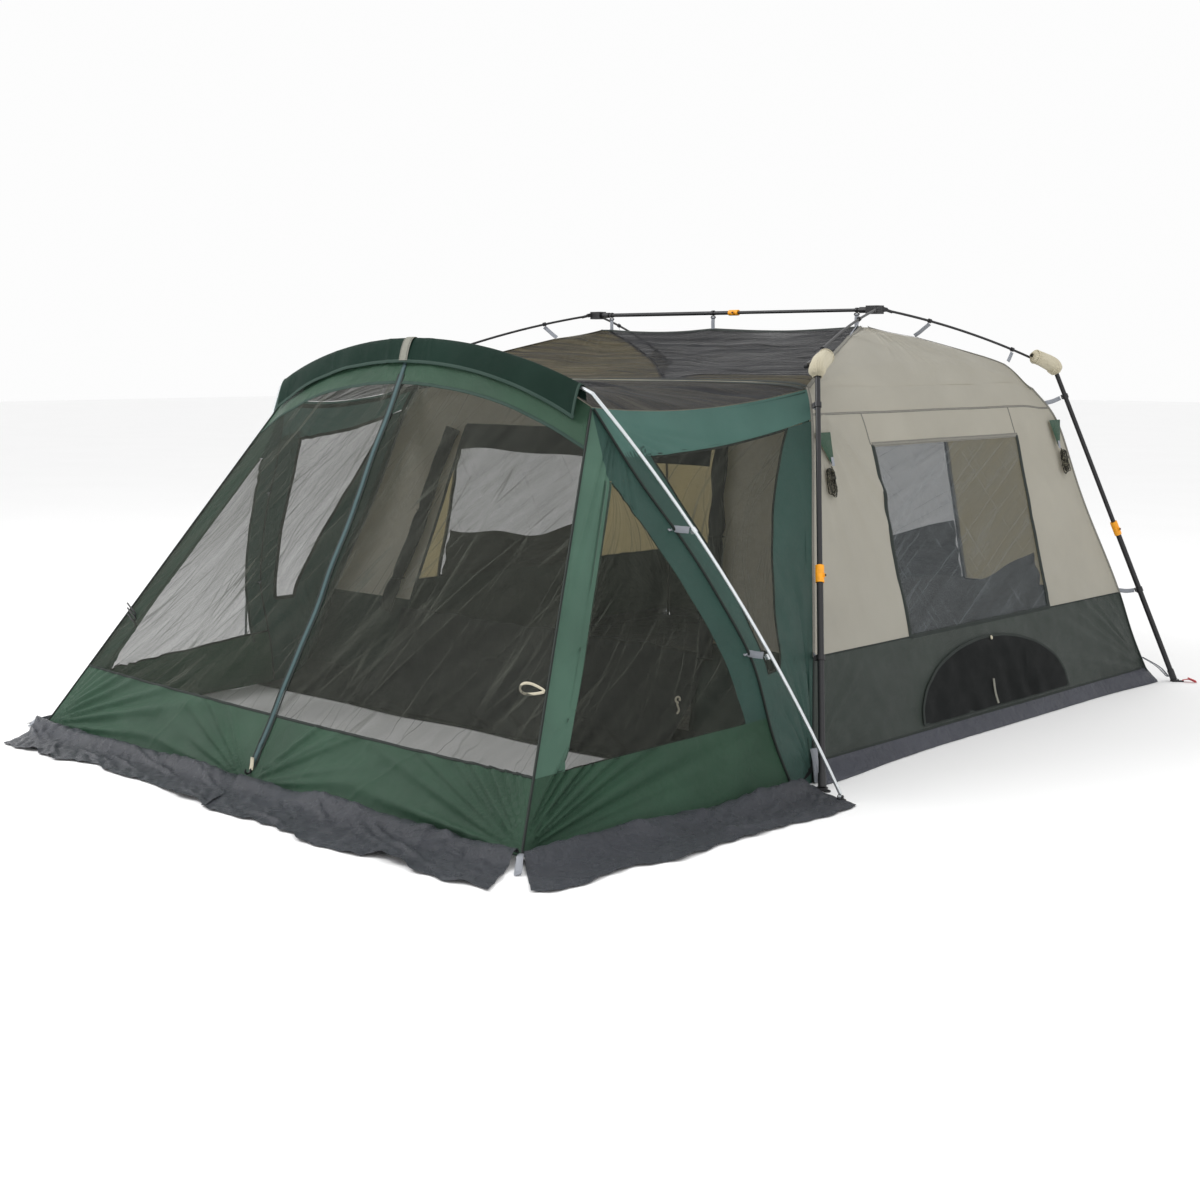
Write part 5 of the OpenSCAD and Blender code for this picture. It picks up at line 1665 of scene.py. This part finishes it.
def elbow_covers():
    """Gathered cloth socks over the elbow joints, each drawn tight at both ends."""
    along = unit(POLE_END - PIVOT)
    leg = unit(FOOT - ELBOW)
    hinge = unit(np.cross(along, leg))
    bent = smooth_path(
        [
            ELBOW - along * 0.158, ELBOW - along * 0.075 + leg * 0.006, ELBOW + leg * 0.020 - along * 0.004,
            ELBOW + leg * 0.068,
        ],
        48,
    )
    turns, t = np.meshgrid(np.linspace(0, 2 * math.pi, 97), np.linspace(0, 1, 48))
    for index, spot in enumerate(CORNERS):
        seed = 231 + index
        _, first, second = frames_along(bent, hinge)
        gather = 0.0030 * np.sin(19 * turns + 2 * np.sin(3 * turns)) * (
            bell(t, 0.02, 0.20) + bell(t, 0.98, 0.18) + 0.22
        )
        lumps = 0.0022 * (np.sin(2 * turns + seed) * np.sin(5 * t + seed) + np.sin(5 * turns - 7 * t) * 0.6)
        ends = 0.024 * bell(t, 0.0, 0.075) + 0.018 * bell(t, 1.0, 0.07)
        radius = 0.0375 + 0.003 * np.sin(math.pi * t) + gather + lumps - ends - 0.004 * bell(t, 0.14, 0.03)
        points = (
            bent[:, None] + first[:, None] * (radius * np.cos(turns))[..., None] + second[:, None] * (
                radius * np.sin(turns)
            )[..., None]
        )
        ring_t = np.linspace(0, 2 * math.pi, 40, endpoint=False)
        r = 0.0385
        tie_path = bent[6] + first[6] * (r * np.cos(ring_t))[:, None] + second[6] * (r * np.sin(ring_t))[:, None]
        tie = swept(
            "elbow_tie_" + spot, tie_path * (
                *CORNERS[spot], 1
            ), "cream", circle(0.0022, 8), up=mirrored(along, spot), closed=True
        )
        fix(tie, body="roof_pole_" + spot)
        flip = CORNERS[spot][0] * CORNERS[spot][1]
        grid = points * (*CORNERS[spot], 1)
        sock = build("elbow_cover_" + spot + "_sock", [grid if flip > 0 else grid[::-1]], "cream")
        fix(sock, "roof_pole_" + spot, ["elbow_cover_" + spot])


def peg_tabs():
    """Webbing loops at the front corners and the red tabs beyond the back feet."""
    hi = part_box("peg_loops")[1]
    for name, side in SIDES.items():
        corner_at = np.array([FRONT_X + 0.012, -FRONT_Y - 0.010, 0.020])
        reach = np.array([FRONT_X + 0.150, -FRONT_Y - 0.170, 0.004]) if side > 0 else corner_at + (
            0.010, -0.070, -0.014
        )
        bent = smooth_path(
            [
                corner_at, lerp(corner_at, reach, 0.4) + (0, 0, 0.018), reach, reach + (-0.004, 0.012, 0.014),
                lerp(corner_at, reach, 0.45) + (0, 0, 0.026),
            ],
            30,
        )
        piece = swept("peg_loop_" + name, bent, "strap", strap_outline(0.026, 0.002), up=(0, 0, 1), side=side)
        fix(piece, stands_for=["peg_loops"] if side > 0 else [])
        tab_at = np.array([FOOT[0] + 0.040, FOOT[1] + 0.014, 0.010])
        end = np.array([hi.x - 0.006, FOOT[1] + 0.036, 0.004])
        bent = smooth_path(
            [
                tab_at, lerp(tab_at, end, 0.5) + (0, 0, 0.010), end, end + (-0.006, 0, 0.008),
                lerp(tab_at, end, 0.4) + (0, 0, 0.018),
            ],
            26,
        )
        piece = swept("red_tab_" + name, bent, "red", strap_outline(0.030, 0.002), up=(0, 0, 1), side=side)
        fix(piece)


hang_straps()
ridge_hangers()
leg_straps()
foot_straps()
arch_straps()
rope_tabs()
elbow_covers()
peg_tabs()

# ---------- the frame's own finishes ----------

NODE_FINISH = (
    ("ridge_tube", "tube"), ("ridge_lock", "orange"), ("ridge_button", "plastic"), ("hub", "plastic"),
    ("roof_pole", "tube"), ("leg_upper", "tube"), ("leg_lower", "tube"), ("leg_lock", "orange"),
    ("leg_button", "plastic"), ("leg_foot", "plastic"), ("arch_pole", "silver"), ("arch_feet", "plastic")
)


def finish_frame():
    for node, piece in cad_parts.items():
        finish = next((f for start, f in NODE_FINISH if node.startswith(start)), None)
        if finish is None:
            continue
        if not piece.material_slots:
            piece.data.materials.append(FINISH[finish])
        for material_slot in piece.material_slots:
            material_slot.material = FINISH[finish]
        eased = piece.modifiers.new("eased_edges", "BEVEL")
        eased.width, eased.segments, eased.limit_method, eased.angle_limit = 0.0012, 2, "ANGLE", math.radians(50)
        eased.harden_normals = True


finish_frame()

# ---------- studio ----------


def studio():
    world = bpy.data.worlds.new("studio")
    world.use_nodes = True
    world.node_tree.nodes["Background"].inputs["Color"].default_value = (1, 1, 1, 1)
    world.node_tree.nodes["Background"].inputs["Strength"].default_value = 0.98
    bpy.context.scene.world = world
    bpy.context.scene.view_settings.view_transform = "Standard"
    size = 60.0
    mesh = bpy.data.meshes.new("studio_floor")
    mesh.from_pydata(
        [(-size, -size, -0.001), (size, -size, -0.001), (size, size, -0.001), (-size, size, -0.001)], [], [(0, 1, 2, 3)]
    )
    mesh.materials.append(ground_finish())
    floor = bpy.data.objects.new("studio_floor", mesh)
    bpy.context.scene.collection.objects.link(floor)
    for name, at, energy, width in (
        ("key", (-4.5, -7.0, 7.0), 460, 3.5), ("fill", (8.0, -4.0, 5.0), 60, 5.0), ("top", (0.5, 2.5, 8.5), 60, 6.0)
    ):
        data = bpy.data.lights.new(name, "AREA")
        data.energy, data.size = energy, width
        lamp = bpy.data.objects.new(name, data)
        lamp.location = at
        lamp.rotation_euler = (Vector((0, -0.5, 0.8)) - Vector(at)).to_track_quat("-Z", "Y").to_euler()
        bpy.context.scene.collection.objects.link(lamp)


studio()
